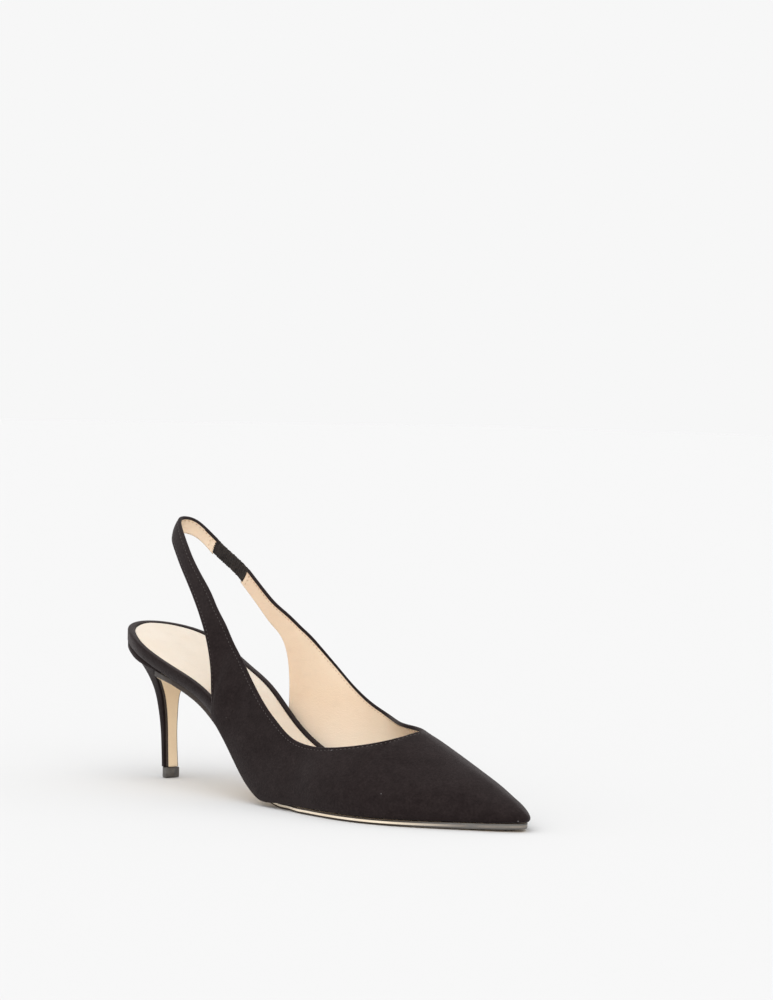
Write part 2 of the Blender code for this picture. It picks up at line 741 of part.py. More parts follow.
def make_elastic(material):
    """A narrower band that joins the end of the sling strap to the inner stub."""
    start_low, start_top, start_ahead = end_section(OUTER, OUTER_CUTS, OUTER_QUARTER, OUTER_STRAP)
    end_low, end_top, end_ahead = end_section(INNER, INNER_CUTS, INNER_QUARTER, INNER_STRAP)
    place = 0.5 + ELASTIC_LIFT_SHARE
    middles = [start_low + (start_top - start_low) * place + start_ahead * CLEARANCE,
               end_low + (end_top - end_low) * place + end_ahead * CLEARANCE]
    reach = np.linalg.norm(middles[1] - middles[0])
    corners = np.array((middles[0], middles[0] + start_ahead * reach / 3,
                        middles[1] + end_ahead * reach / 3, middles[1]))
    widths = ((start_top - start_low) * ELASTIC_SHARE, (end_top - end_low) * ELASTIC_SHARE)
    front = []
    back = []
    for step in range(9):
        share = step / 8
        centre = curve_point(corners, share)
        ahead = curve_point(corners, min(1, share + 0.01)) - curve_point(corners, max(0, share - 0.01))
        width = widths[0] + (widths[1] - widths[0]) * share
        outwards = np.cross(width, ahead)
        outwards *= 1 / np.linalg.norm(outwards)
        inside = outwards * -(WALL - ELASTIC_WALL) / 2
        row = across(centre - width / 2, centre + width / 2, (0.0, 0.5, 1.0))
        front.append([point + inside for point in row])
        back.append([point + inside - outwards * ELASTIC_WALL for point in row])
    return slab("elastic_gore", front, back, (True, True), material)


def main():
    for thing in list(bpy.data.objects):
        bpy.data.objects.remove(thing)
    suede = new_material("black_suede", (0.022, 0.019, 0.019), 0.92)
    pieces = [
        make_upper(suede),
        make_elastic(new_material("black_elastic", (0.012, 0.012, 0.013), 0.85)),
        make_insole(new_material("black_suede_rim", (0.022, 0.019, 0.019), 0.92)),
        make_sock(new_material("pale_leather", (0.85, 0.76, 0.64), 0.5)),
        make_outsole(new_material("tan_leather", (0.78, 0.60, 0.38), 0.42)),
        make_heel(new_material("black_suede_heel", (0.022, 0.019, 0.019), 0.92)),
        make_top_lift(new_material("black_rubber", (0.02, 0.02, 0.021), 0.45)),
    ]
    shoe = bpy.data.objects.new("slingback_pump", None)
    bpy.context.scene.collection.objects.link(shoe)
    places = np.array([vertex.co for piece in pieces for vertex in piece.data.vertices])
    middle_of_box = (places.min(axis=0) + places.max(axis=0)) / 2
    for piece in pieces:
        piece.parent = shoe
        piece.location = (-middle_of_box[0], -middle_of_box[1], 0.0)


main()
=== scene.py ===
"""Slingback pump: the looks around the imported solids.

Metres. Points of the shoe are worked out in the last's own coordinates, X from the back of the insole
to the toe and Y towards the inner side of the foot, and are moved into the frame at the end.
"""

import math

import bmesh
import bpy
import numpy as np
from mathutils import Matrix, Vector


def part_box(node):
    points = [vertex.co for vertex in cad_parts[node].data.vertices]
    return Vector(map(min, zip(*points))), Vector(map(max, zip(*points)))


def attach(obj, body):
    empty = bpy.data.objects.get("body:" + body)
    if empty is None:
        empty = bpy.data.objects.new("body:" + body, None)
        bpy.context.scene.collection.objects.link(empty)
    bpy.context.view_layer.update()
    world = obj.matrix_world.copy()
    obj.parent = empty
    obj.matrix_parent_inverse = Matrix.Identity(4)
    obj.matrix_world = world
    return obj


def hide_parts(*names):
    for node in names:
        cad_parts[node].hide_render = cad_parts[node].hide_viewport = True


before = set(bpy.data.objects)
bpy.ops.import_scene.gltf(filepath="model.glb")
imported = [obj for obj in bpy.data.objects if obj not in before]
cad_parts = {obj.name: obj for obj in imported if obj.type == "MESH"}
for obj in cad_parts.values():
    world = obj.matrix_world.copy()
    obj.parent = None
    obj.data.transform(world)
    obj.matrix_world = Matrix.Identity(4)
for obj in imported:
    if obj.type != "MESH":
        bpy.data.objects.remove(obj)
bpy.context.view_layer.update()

# Sizes of the last
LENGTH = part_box("insole")[1].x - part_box("insole")[0].x
BALL_WIDTH = 0.072
HEEL_RISE = 0.0665
TOE_SPRING = 0.001
SEAT_ROUND = 0.033
TOE_ROUND = 0.0128
TREAD_BACK_SHARE = 0.66
TREAD_FRONT_SHARE = 0.76

# Sizes of the upper
WALL = 0.0018
INSTEP_RISE = 0.035
FEATHER_SWELL = 0.0026
WAIST_DROP = 0.0034
LOOP_RISE = 0.066
LOOP_MIDDLE_SHARE = 0.22
THROAT_SHARE = 0.7525
ELASTIC_SHARE = 0.86
ELASTIC_LIFT_SHARE = 0.05

# Sizes of the bottom
CLEARANCE = 0.0003
SOLE_THICKNESS = 0.0025
WAIST_THICKNESS = 0.0030
FLAP_THICKNESS = 0.0012
SOLE_EDGE_OUT = 0.0017
WAIST_EDGE_IN = 0.0010
INSOLE_BACK = 0.0050
INSOLE_FRONT = 0.0032
INSOLE_TOE = 0.0018
RIM_WIDTH = 0.0034
RIM_TOE_WIDTH = 0.0022
RIM_HEIGHT = 0.0012
SOCK_THICKNESS = 0.0007
SOCK_END_SHARE = 0.90

# Sizes of the heel
SEAT_LENGTH = 0.044
CUP_HEIGHT = 0.0034
LIP_THICKNESS = 0.0008
HEEL_TIP_WIDTH = 0.0084
SEAT_INSET = 0.0004
FLAP_MARGIN = 0.0008
FLAP_BEND = 0.008
TOP_LIFT_HEIGHT = 0.0050
TOP_LIFT_INSET = 0.0002

# Sizes of the finish
EDGE_ROUND = 0.00088
FOLD_WIDTH = 0.0011
LINING_STEP = 0.00012
STITCH_INSET = 0.0019
END_STITCH_INSET = 0.0030
STITCH_PITCH = 0.0021
STITCH_LENGTH = 0.00105
THREAD_RADIUS = 0.00017
STITCH_GROOVE = 0.00016
STITCH_SINK = 0.9 * STITCH_GROOVE
GROOVE_WIDTH = 0.00042
RIM_ROUND = 0.0009
SOCK_EDGE = 0.0012
SOCK_CROWN = 0.0005
SOCK_CROWN_WIDTH = 0.014
SOLE_EDGE_ROUND = 0.0006
PALE_EDGE_START = 0.515
TOP_LIFT_BREAK = 0.0003
ELASTIC_TUCK = 0.0012
ELASTIC_HALF_WALL = 0.00042
ELASTIC_RIBS = 7
RIB_HEIGHT = 0.00014
GATHERS = 24
GATHER_HEIGHT = 0.00030
LEATHER_GRAIN = 0.00055

# The sole's rounded edge: how far in and how far down, as shares
SOLE_EDGE_INSETS = (0.0, 0.06, 0.35, 1.0)
SOLE_EDGE_SINKS = (0.30, 0.68, 0.93, 1.0)

# How finely the forms are cut
EDGE_STEPS = (0.0, 0.00022, 0.00045, 0.0007, 0.00095, 0.00125, 0.0016, 0.0019, 0.0022, 0.0026, 0.0032)
SECTION_STEPS = 90
BODY_COLUMNS = 22
VAMP_ROWS = 62
THROAT_ROWS = 10
THROAT_TURN = 0.0115
JOIN_ROWS = 22
JOIN_PASSES = 80
TABLE_STEPS = 9
FIRST_STEPS = 24
BOTTOM_ROWS = 150
SOCK_COLUMNS = 20
SOLE_COLUMNS = 9
FLAP_ROWS = 60
HEEL_ROWS = 70
SEAT_STEPS = 36
ELASTIC_ROWS = 90
ELASTIC_COLUMNS = 56
STITCH_SIDES = 6
STITCH_RINGS = (-0.5, -0.4, -0.2, 0.0, 0.2, 0.4, 0.5)

OUTER = -1
INNER = 1

# The insole's underside: its middle and half width as shares of half the ball width, its rise as a
# share of HEEL_RISE, and how much it tilts down towards the outer side
LAST_COLUMNS = ("along", "centre", "half", "rise", "cant")
LAST = (
    (0.00, 0.03, 0.73, 1.000, 0.00),
    (0.06, 0.03, 0.73, 0.935, 0.00),
    (0.14, 0.02, 0.73, 0.815, 0.00),
    (0.22, -0.05, 0.66, 0.714, 0.01),
    (0.30, -0.10, 0.61, 0.584, 0.01),
    (0.38, -0.14, 0.60, 0.355, 0.02),
    (0.46, -0.15, 0.69, 0.150, 0.08),
    (0.54, -0.09, 0.83, 0.036, 0.07),
    (0.62, -0.02, 0.94, 0.005, 0.01),
    (0.66, 0.00, 0.98, 0.000, 0.00),
    (0.71, 0.01, 1.00, 0.000, 0.00),
    (0.80, 0.03, 0.90, 0.000, 0.00),
    (0.90, 0.10, 0.56, 0.000, 0.00),
    (0.95, 0.13, 0.34, 0.000, 0.00),
    (1.00, 0.15, 0.16, 0.000, 0.00),
)

# The ridge of the vamp, and its line carried on over the instep: its place across as a share of half
# the ball width, and its height over the insole's underside as a share of INSTEP_RISE
RIDGE_COLUMNS = ("along", "out", "up")
RIDGE = (
    (0.58, 0.00, 1.44),
    (0.66, 0.02, 1.25),
    (0.7525, 0.08, 1.00),
    (0.82, 0.12, 0.77),
    (0.86, 0.13, 0.64),
    (0.90, 0.14, 0.515),
    (0.94, 0.15, 0.375),
    (0.97, 0.15, 0.275),
    (1.00, 0.15, 0.18),
)
SIDE_SHARE = 0.42
FLARE_SHARE = 0.05
CROWN_SHARE = 0.33
TIP_SHARE = 0.60

# Where the topline crosses the vamp's own sections beside the throat: the station and the height as a
# share of INSTEP_RISE
OUTER_CUTS = ((0.737, 0.907), (0.700, 0.830), (0.650, 0.775))
INNER_CUTS = ((0.730, 1.000), (0.690, 1.012), (0.650, 1.026))

# The quarters, from the throat back to the corner where the sling strap starts: the station of the
# lower edge, the topline's place, and how far the wall bellies out, low down and high up
# low, along, out, up, belly_low, belly_high
OUTER_QUARTER = (
    (0.600, 0.600, 0.780, 0.754, 0.11, 0.03),
    (0.555, 0.553, 0.765, 0.781, 0.12, 0.03),
    (0.510, 0.512, 0.736, 0.861, 0.13, 0.03),
    (0.465, 0.475, 0.708, 0.932, 0.13, 0.03),
    (0.420, 0.443, 0.672, 0.992, 0.12, 0.03),
    (0.375, 0.412, 0.625, 1.040, 0.12, 0.03),
    (0.335, 0.381, 0.572, 1.078, 0.16, 0.03),
)
INNER_QUARTER = (
    (0.600, 0.578, 0.800, 1.022, 0.10, 0.03),
    (0.555, 0.535, 0.861, 1.054, 0.08, 0.02),
    (0.510, 0.499, 0.861, 1.090, 0.07, 0.02),
    (0.470, 0.465, 0.833, 1.146, 0.06, 0.02),
    (0.430, 0.438, 0.778, 1.222, 0.06, 0.02),
    (0.385, 0.410, 0.708, 1.296, 0.06, 0.02),
    (0.338, 0.383, 0.647, 1.340, 0.06, 0.02),
)

# The sling strap's two edges, as stations, shares of half the ball width and shares of LOOP_RISE, and
# how far its outer face bellies out
# low_along, low_out, low_up, along, out, up, belly
OUTER_STRAP = (
    (0.331, 0.770, 0.181, 0.353, 0.533, 0.580, 0.00),
    (0.315, 0.700, 0.300, 0.330, 0.506, 0.608, 0.00),
    (0.294, 0.639, 0.407, 0.310, 0.483, 0.631, 0.00),
    (0.272, 0.589, 0.482, 0.290, 0.467, 0.662, 0.00),
    (0.244, 0.528, 0.559, 0.266, 0.444, 0.718, 0.00),
    (0.209, 0.472, 0.661, 0.234, 0.417, 0.787, 0.01),
    (0.179, 0.422, 0.739, 0.205, 0.394, 0.865, 0.02),
    (0.150, 0.360, 0.813, 0.177, 0.350, 0.948, 0.03),
    (0.124, 0.262, 0.862, 0.143, 0.250, 1.022, 0.04),
    (0.114, 0.085, 0.884, 0.124, 0.083, 1.034, 0.04),
    (0.121, -0.111, 0.880, 0.130, -0.106, 1.024, 0.03),
    (0.136, -0.239, 0.840, 0.146, -0.240, 0.976, 0.02),
    (0.151, -0.306, 0.793, 0.165, -0.335, 0.918, 0.01),
)
INNER_STRAP = (
    (0.337, 0.561, 0.307, 0.362, 0.611, 0.706, 0.00),
    (0.325, 0.572, 0.434, 0.341, 0.589, 0.698, 0.00),
    (0.307, 0.567, 0.485, 0.321, 0.561, 0.692, 0.00),
    (0.281, 0.550, 0.508, 0.298, 0.528, 0.693, 0.00),
    (0.250, 0.511, 0.576, 0.270, 0.500, 0.727, 0.01),
    (0.209, 0.461, 0.676, 0.230, 0.456, 0.811, 0.01),
)

# The heel below its cup: its height from the top-lift to the cup as a share, its back and breast as
# shares of SEAT_LENGTH, and its half width as a share of half the tip's width
HEEL_COLUMNS = ("up", "back", "front", "half")
HEEL = (
    (0.00, 0.430, 0.531, 1.00),
    (0.18, 0.405, 0.510, 0.97),
    (0.36, 0.370, 0.495, 0.98),
    (0.52, 0.320, 0.484, 1.12),
    (0.66, 0.255, 0.475, 1.45),
    (0.78, 0.165, 0.498, 2.24),
    (0.88, 0.080, 0.580, 3.45),
    (0.95, 0.036, 0.716, 4.75),
)

# The camera, fitted to the photograph: it looks at a point of the last, which is seen at this pixel
CAMERA_AZIMUTH = math.radians(46.85)
CAMERA_ELEVATION = math.radians(1.93)
CAMERA_ROLL = math.radians(1.34)
CAMERA_DISTANCE = 1.5
AIM = (0.120, 0.0, 0.040)
AIM_PIXEL = (305.9, 712.2)
IMAGE_SIZE = (773, 1000)
FOCAL_PIXELS = 3257
SENSOR_WIDTH = 36

# The light: the room's own strength, and for each soft sun where it shines from, its strength and its
# spread in degrees
ROOM_LIGHT = 0.93
SUNS = {
    "key": ((0.35, -0.55, 1.0), 0.95, 80),
    "top": ((-0.30, -0.10, 1.0), 0.65, 100),
    "front": ((0.80, -0.60, 0.25), 0.80, 70),
}
FLOOR_HALF = 12.0
FLOOR_GAP = 0.0002
FLOOR_SHADE = 0.645

# Colours, from dark to light where there are two or three
SUEDE_DARK = (0.0125, 0.0082, 0.0082)
SUEDE_LIGHT = (0.0200, 0.0145, 0.0143)
# The next one is a painted sheen: the lighter, greyer suede colour high up on the strap.
SUEDE_PAINTED_SHEEN = (0.030, 0.0245, 0.0243)
SUEDE_SHEEN = (0.86, 0.80, 0.80, 1)
LINT = (0.17, 0.16, 0.16)
LINING_TONES = ((0.77, 0.59, 0.43), (0.80, 0.635, 0.47), (0.83, 0.68, 0.52))
# The next one is painted light: the lining's paler tone low down, where light bounces up off the sock.
LINING_PAINTED_BOUNCE = (0.86, 0.77, 0.64)
SOCK_TONES = ((0.64, 0.55, 0.445), (0.66, 0.575, 0.475), (0.68, 0.60, 0.51))
SOLE_TONES = ((0.82, 0.635, 0.42), (0.90, 0.725, 0.50))
SOLE_SCRATCH = (0.68, 0.50, 0.31)
# The next one is partly the sole edge's own cream, and partly a painted highlight that makes its middle
# band brighter.
PALE_EDGE_AND_HIGHLIGHT_TONES = ((0.74, 0.58, 0.40), (0.93, 0.84, 0.69))
# The next one is partly the edge's own colour, in its dark top line and the black-painted waist, and partly
# painted contact shadow in the strips under the pale band.
DARK_EDGE_AND_SHADOW_TONES = ((0.022, 0.016, 0.013), (0.050, 0.036, 0.028))
# The next one is a painted reflection: the grey of the sole's edge round the toe, where it curves.
TOE_EDGE_PAINTED_REFLECTION = (0.16, 0.15, 0.14)
ELASTIC_TONES = ((0.008, 0.0065, 0.006), (0.030, 0.025, 0.023))
ELASTIC_LUMP = (0.046, 0.039, 0.035)
RUBBER_TONES = ((0.055, 0.050, 0.045), (0.110, 0.100, 0.090))
BLACK_THREAD = (0.085, 0.074, 0.069)
PALE_THREAD = (0.58, 0.42, 0.28)


def smooth_curve(at, values):
    """Returns the natural cubic curve through the values, as a function of the place along it."""
    at = np.array(at, float)
    count = len(at)
    shape = np.shape(values)[1:]
    values = np.array(values, float).reshape(count, -1)
    gap = np.diff(at)
    slope = np.diff(values, axis=0) / gap[:, None]
    system = np.eye(count)
    bend = np.zeros(values.shape)
    for row in range(1, count - 1):
        system[row, row - 1:row + 2] = gap[row - 1], 2 * (gap[row - 1] + gap[row]), gap[row]
        bend[row] = 6 * (slope[row] - slope[row - 1])
    bend = np.linalg.solve(system, bend)

    def curve(place):
        row = int(np.clip(np.searchsorted(at, place) - 1, 0, count - 2))
        width = gap[row]
        after = place - at[row]
        before = at[row + 1] - place
        bent = (bend[row] * before ** 3 + bend[row + 1] * after ** 3) / (6 * width)
        start = values[row] / width - bend[row] * width / 6
        end = values[row + 1] / width - bend[row + 1] * width / 6
        return (bent + start * before + end * after).reshape(shape)

    return curve


def table_curves(columns, rows):
    """Returns a smooth curve for each named column, along the first column."""
    at = [row[0] for row in rows]
    return {name: smooth_curve(at, [row[index + 1] for row in rows])
            for index, name in enumerate(columns[1:])}


def unit(vector):
    return vector / np.linalg.norm(vector)


def ease(value, start, end):
    """Goes smoothly from 0 at the start to 1 at the end."""
    share = min(1.0, max(0.0, (value - start) / (end - start)))
    return share * share * (3 - 2 * share)


HALF_BALL = BALL_WIDTH / 2
LAST_CURVES = table_curves(LAST_COLUMNS, LAST)
RIDGE_CURVES = table_curves(RIDGE_COLUMNS, RIDGE)
HEEL_CURVES = table_curves(HEEL_COLUMNS, HEEL)
UPPER_OUT = CLEARANCE + WALL


def middle(along):
    return float(LAST_CURVES["centre"](along)) * HALF_BALL


# Where the last's zero point lies in the frame: the top-lift's middle is on the last's middle line
ORIGIN = Vector((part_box("insole")[0].x, (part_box("top_lift")[0].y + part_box("top_lift")[1].y) / 2, 0))


def roundness(along):
    """Draws the outline in to a round end at the toe and at the back of the seat."""
    toe = max(0.0, (along - 1) * LENGTH / TOE_ROUND + 1)
    seat = max(0.0, 1 - along * LENGTH / SEAT_ROUND)
    return math.sqrt(max(0.0, 1 - toe ** 2)) * math.sqrt(max(0.0, 1 - seat ** 2))


def spring(along):
    """The toe's lift over the ground, in front of the flat tread."""
    return TOE_SPRING * max(0.0, (along - TREAD_FRONT_SHARE) / (1 - TREAD_FRONT_SHARE)) ** 2


def underside(x, y):
    """Height of the insole's underside."""
    along = x / LENGTH
    height = SOLE_THICKNESS + CLEARANCE + spring(along)
    if along < TREAD_BACK_SHARE:
        rise = float(LAST_CURVES["rise"](along)) * HEEL_RISE
        height += max(0.0, rise + float(LAST_CURVES["cant"](along)) * (y - middle(along)))
    return height


def slant(x):
    """How much longer an upright height is than the thickness it stands for, on the sloping seat."""
    step = LENGTH / 100
    slope = (underside(x + step, 0) - underside(x - step, 0)) / (2 * step)
    return math.sqrt(1 + slope ** 2)


def station(turn):
    """The station at a share of the way round a side, from 0 at the toe to 1 at the back."""
    return (1 + math.cos(math.pi * turn)) / 2


def turn_at(along):
    return math.acos(2 * along - 1) / math.pi


def outline_point(turn, side):
    along = station(turn)
    passed_end = -1 if turn < 0 or turn > 1 else 1
    half = float(LAST_CURVES["half"](along)) * HALF_BALL * roundness(along) * passed_end
    return np.array((along * LENGTH, middle(along) + side * half))


def rim(turn, side, out=0.0):
    """A point of the insole's outline in plan, moved outwards at right angles to it."""
    step = 0.001
    ahead = unit(outline_point(turn + step, side) - outline_point(turn - step, side))
    outwards = np.array((-ahead[1], ahead[0])) * -side
    return outline_point(turn, side) + outwards * out


def rim_place(turn, side, out=0.0, up=0.0):
    x, y = rim(turn, side, out)
    return np.array((x, y, underside(x, y) + up))


def across(start, end, shares):
    """Points on the straight line between two points."""
    return [start + (end - start) * share for share in shares]


def lower_edge(turn, side):
    """The upper's lower edge, which hangs down beside the outsole at the waist."""
    drop = WAIST_DROP * ease(station(turn), 0.56, 0.49) * ease(station(turn), 0.32, 0.46)
    return rim_place(turn, side, UPPER_OUT, -drop)


def arch(turn, side):
    """Corners of the vamp's section curve at one station, from the lower edge to the ridge."""
    along = station(turn)
    low = lower_edge(turn, side)
    rounded = math.sqrt(max(0.0, 1 - max(0.0, (along - 1) * LENGTH / TOE_ROUND + 1) ** 2))
    height = float(RIDGE_CURVES["up"](along)) * INSTEP_RISE * (TIP_SHARE + (1 - TIP_SHARE) * rounded)
    front = (low[0] + rim(turn, -side, UPPER_OUT)[0]) / 2
    top = np.array((front, float(RIDGE_CURVES["out"](along)) * HALF_BALL, 0.0))
    top[2] = underside(along * LENGTH, middle(along)) + height
    width = abs(top[1] - low[1])
    outwards = rim_place(turn, side, UPPER_OUT + FEATHER_SWELL) - rim_place(turn, side, UPPER_OUT)
    wall = low + outwards + np.array((0.0, side * FLARE_SHARE * width, SIDE_SHARE * (top[2] - low[2])))
    crown = top + np.array((0.0, side * CROWN_SHARE * width, 0.0))
    return np.array((low, wall, crown, top))


def curve_point(corners, share):
    """A point of the cubic curve with four corners."""
    left = 1 - share
    weights = (left ** 3, 3 * left ** 2 * share, 3 * left * share ** 2, share ** 3)
    return sum(weight * corner for weight, corner in zip(weights, corners))


def curve_start(corners, share):
    """Corners of the first part of a cubic curve."""
    rows = [np.array(corners)]
    while len(rows[-1]) > 1:
        rows.append(rows[-1][:-1] + (rows[-1][1:] - rows[-1][:-1]) * share)
    return np.array([row[0] for row in rows])


def cut_arch(along, up, side):
    """Corners of the section below the topline, which crosses it at the given height."""
    corners = arch(turn_at(along), side)
    height = underside(along * LENGTH, middle(along)) + up * INSTEP_RISE
    low, high = 0.0, 1.0
    for halving in range(30):
        share = (low + high) / 2
        if curve_point(corners, share)[2] < height:
            low = share
        else:
            high = share
    return curve_start(corners, share)


def bellies(corners):
    """How far a section's two middle corners stand off the straight line between its ends."""
    low, wall, crown, top = corners
    third = (top - low) / 3
    return wall - low - third, crown - top + third


def place_of(along, out, up, side, height_size):
    """A table's place as a point: station, share across, and height over the insole's underside."""
    x = along * LENGTH
    return np.array((x, side * out * HALF_BALL, underside(x, middle(along)) + up * height_size))


def away_from_loop(place):
    """The level direction from the middle of the sling's loop to a point of the strap."""
    return unit(place - np.array((LOOP_MIDDLE_SHARE * LENGTH, middle(LOOP_MIDDLE_SHARE), place[2])))


def wall_rows(side, cuts, quarter, strap):
    """Rows of the wall behind the throat: lower edge, topline and the two bellies."""
    lows = [THROAT_SHARE]
    tops = []
    swells = []
    for along, up in ((THROAT_SHARE, float(RIDGE_CURVES["up"](THROAT_SHARE))),) + cuts:
        corners = cut_arch(along, up, side)
        tops.append(corners[3])
        swells.append(bellies(corners))
    lows += [along for along, up in cuts]
    for low, along, out, up, belly_low, belly_high in quarter:
        lows.append(low)
        tops.append(place_of(along, out, up, side, INSTEP_RISE))
        outwards = np.array((0.0, side * HALF_BALL, 0.0))
        swells.append((outwards * belly_low, outwards * belly_high))
    edge = [lower_edge(turn_at(lows[-1]), side)]
    for low_along, low_out, low_up, along, out, up, belly in strap:
        edge.append(place_of(low_along, low_out, low_up, side, LOOP_RISE))
        tops.append(place_of(along, out, up, side, LOOP_RISE))
        swells.append([away_from_loop(tops[-1]) * belly * HALF_BALL] * 2)
    return lows, edge, tops, swells


def side_sections(side, cuts, quarter, strap):
    """Corner points of the sections behind the throat, and which of them stand on the sole."""
    lows, edge, tops, swells = wall_rows(side, cuts, quarter, strap)
    corner_row = len(lows) - 1
    low_curve = smooth_curve(range(len(lows)), lows)
    edge_curve = smooth_curve(range(len(edge)), edge)
    top_curve = smooth_curve(range(len(tops)), tops)
    swell_curve = smooth_curve(range(len(swells)), swells)
    places = [step / FIRST_STEPS for step in range(FIRST_STEPS)]
    places += [1 + step / TABLE_STEPS for step in range(TABLE_STEPS * (len(tops) - 2) + 1)]
    sections = []
    for row in places:
        if row <= corner_row:
            low = lower_edge(turn_at(float(low_curve(row))), side)
        else:
            low = edge_curve(row - corner_row)
        top = top_curve(row)
        belly_low, belly_high = swell_curve(row)
        third = (top - low) / 3
        sections.append((np.array((low, low + third + belly_low, top - third + belly_high, top)),
                         row <= corner_row))
    return sections


SIDES = {OUTER: (OUTER, OUTER_CUTS, OUTER_QUARTER, OUTER_STRAP),
         INNER: (INNER, INNER_CUTS, INNER_QUARTER, INNER_STRAP)}
SECTIONS = {side: side_sections(*tables) for side, tables in SIDES.items()}


def lengths_along(points):
    """How far along a line each of its points lies."""
    steps = np.linalg.norm(np.diff(points, axis=0), axis=1)
    return np.concatenate([[0], np.cumsum(steps)])


def along_line(places, lengths, points):
    """Points of a line at one or more places along it."""
    return np.stack([np.interp(places, lengths, points[:, axis]) for axis in range(3)], axis=-1)


def section_points(corners):
    """Points of a section, close together near both of its edges, with their places along it."""
    dense = curve_point(corners, np.linspace(0, 1, SECTION_STEPS)[:, None])
    lengths = lengths_along(dense)
    whole = lengths[-1]
    near = np.array(EDGE_STEPS) * min(1.0, whole / (3.2 * EDGE_STEPS[-1]))
    between = np.linspace(near[-1], whole - near[-1], BODY_COLUMNS)[1:-1]
    places = np.concatenate([near, between, whole - near[::-1]])
    return along_line(places, lengths, dense), places


def sheet_normals(grid, side, mirror, joined):
    """Outward directions of a grid. Across the toe and the ridge the other side's points are used."""
    along = np.zeros(grid.shape)
    upwards = np.zeros(grid.shape)
    along[1:-1] = grid[2:] - grid[:-2]
    along[-1] = grid[-1] - grid[-2]
    along[0] = grid[1] - mirror[1]
    along[0, -1] = along[0, -2]
    along[joined, -1] = grid[joined, -1] - grid[joined - 1, -1]
    upwards[:, 1:-1] = grid[:, 2:] - grid[:, :-2]
    upwards[:, 0] = grid[:, 1] - grid[:, 0]
    upwards[:, -1] = grid[:, -1] - grid[:, -2]
    upwards[:joined + 1, -1] = mirror[:joined + 1, -2] - grid[:joined + 1, -2]
    upwards[0, -1] = grid[1, -1] - grid[0, -2]
    normals = np.cross(along, upwards) * side
    return normals / np.linalg.norm(normals, axis=2)[:, :, None]


def distance_to(lines, points):
    """Shortest distance from each point to a set of polylines."""
    flat = points.reshape(-1, 3)
    nearest = np.full(len(flat), 1.0)
    for line in lines:
        starts = line[:-1]
        spans = line[1:] - starts
        squares = np.maximum((spans ** 2).sum(axis=1), 1e-16)
        for first in range(0, len(flat), 400):
            chunk = flat[first:first + 400, None, :]
            share = np.clip(((chunk - starts) * spans).sum(axis=2) / squares, 0, 1)
            gaps = np.linalg.norm(chunk - starts - share[:, :, None] * spans, axis=2)
            nearest[first:first + 400] = np.minimum(nearest[first:first + 400], gaps.min(axis=1))
    return nearest.reshape(points.shape[:-1])


def rolled(distance, radius):
    """How far a surface has turned in at this distance from its edge."""
    left = radius - np.minimum(distance, radius)
    return radius - np.sqrt(np.maximum(radius ** 2 - left ** 2, 0))


def groove(distance):
    """How deep the stitches draw a surface in, at this distance from its edge."""
    return STITCH_GROOVE * np.exp(-((distance - STITCH_INSET) / GROOVE_WIDTH) ** 2)


def add_object(name, data):
    thing = bpy.data.objects.new(name, data)
    bpy.context.scene.collection.objects.link(thing)
    return thing


def new_mesh(name, points, faces, materials, slots=None):
    """Makes a smooth mesh object from points of the last, and moves it into the frame."""
    mesh = bpy.data.meshes.new(name)
    places = np.array(points, float) + np.array(ORIGIN)
    mesh.from_pydata(places.tolist(), [], [list(face) for face in faces])
    for material in materials:
        mesh.materials.append(material)
    if slots is not None:
        mesh.polygons.foreach_set("material_index", slots)
    body = bmesh.new()
    body.from_mesh(mesh)
    bmesh.ops.remove_doubles(body, verts=body.verts, dist=1e-7)
    bmesh.ops.dissolve_degenerate(body, edges=body.edges, dist=1e-8)
    bmesh.ops.recalc_face_normals(body, faces=body.faces)
    if body.calc_volume(signed=True) < 0:
        bmesh.ops.reverse_faces(body, faces=body.faces)
    body.to_mesh(mesh)
    body.free()
    mesh.shade_smooth()
    return add_object(name, mesh)


def grid_faces(rows, columns, first, flip):
    faces = []
    for row in range(rows - 1):
        for column in range(columns - 1):
            corner = first + row * columns + column
            face = (corner, corner + 1, corner + columns + 1, corner + columns)
            faces.append(face[::-1] if flip else face)
    return faces


def slab(name, top, bottom, open_ends, materials, slot_of=None):
    """Closes the space between two grids of points; an end that isn't open is pinched to an edge."""
    top = np.array(top)
    rows, columns = top.shape[:2]
    under = rows * columns
    points = np.concatenate([top.reshape(-1, 3), np.array(bottom).reshape(-1, 3)])
    faces = grid_faces(rows, columns, 0, False) + grid_faces(rows, columns, under, True)
    cells = [(row, column) for row in range(rows - 1) for column in range(columns - 1)]
    kinds = [("top", *cell) for cell in cells] + [("bottom", *cell) for cell in cells]
    for row in range(rows - 1):
        for column in (0, columns - 1):
            corner = row * columns + column
            faces.append((corner, corner + columns, under + corner + columns, under + corner))
            kinds.append(("side", row, column))
    for row, is_open in ((0, open_ends[0]), (rows - 1, open_ends[1])):
        if is_open:
            for column in range(columns - 1):
                corner = row * columns + column
                faces.append((corner, corner + 1, under + corner + 1, under + corner))
                kinds.append(("end", row, column))
    slots = None
    if slot_of:
        slots = [slot_of(kind, row, min(column, columns - 2 - column)) for kind, row, column in kinds]
    return new_mesh(name, points, faces, materials, slots)


def ring_faces(first, rings, count):
    """Faces between rings of points that follow each other."""
    faces = []
    for ring in range(rings - 1):
        for step in range(count):
            here = first + ring * count + step
            there = first + ring * count + (step + 1) % count
            faces.append((here, there, there + count, here + count))
    return faces


def loft(name, sections, materials):
    """Joins sections of equal count, and closes the first and last straight across."""
    count = len(sections[0])
    points = [point for section in sections for point in section]
    faces = ring_faces(0, len(sections), count)
    for first in (0, (len(sections) - 1) * count):
        for step in range(count // 2):
            face = (step, step + 1, count - 2 - step, count - 1 - step)
            faces.append([first + index for index in dict.fromkeys(face)])
    return new_mesh(name, points, faces, materials)


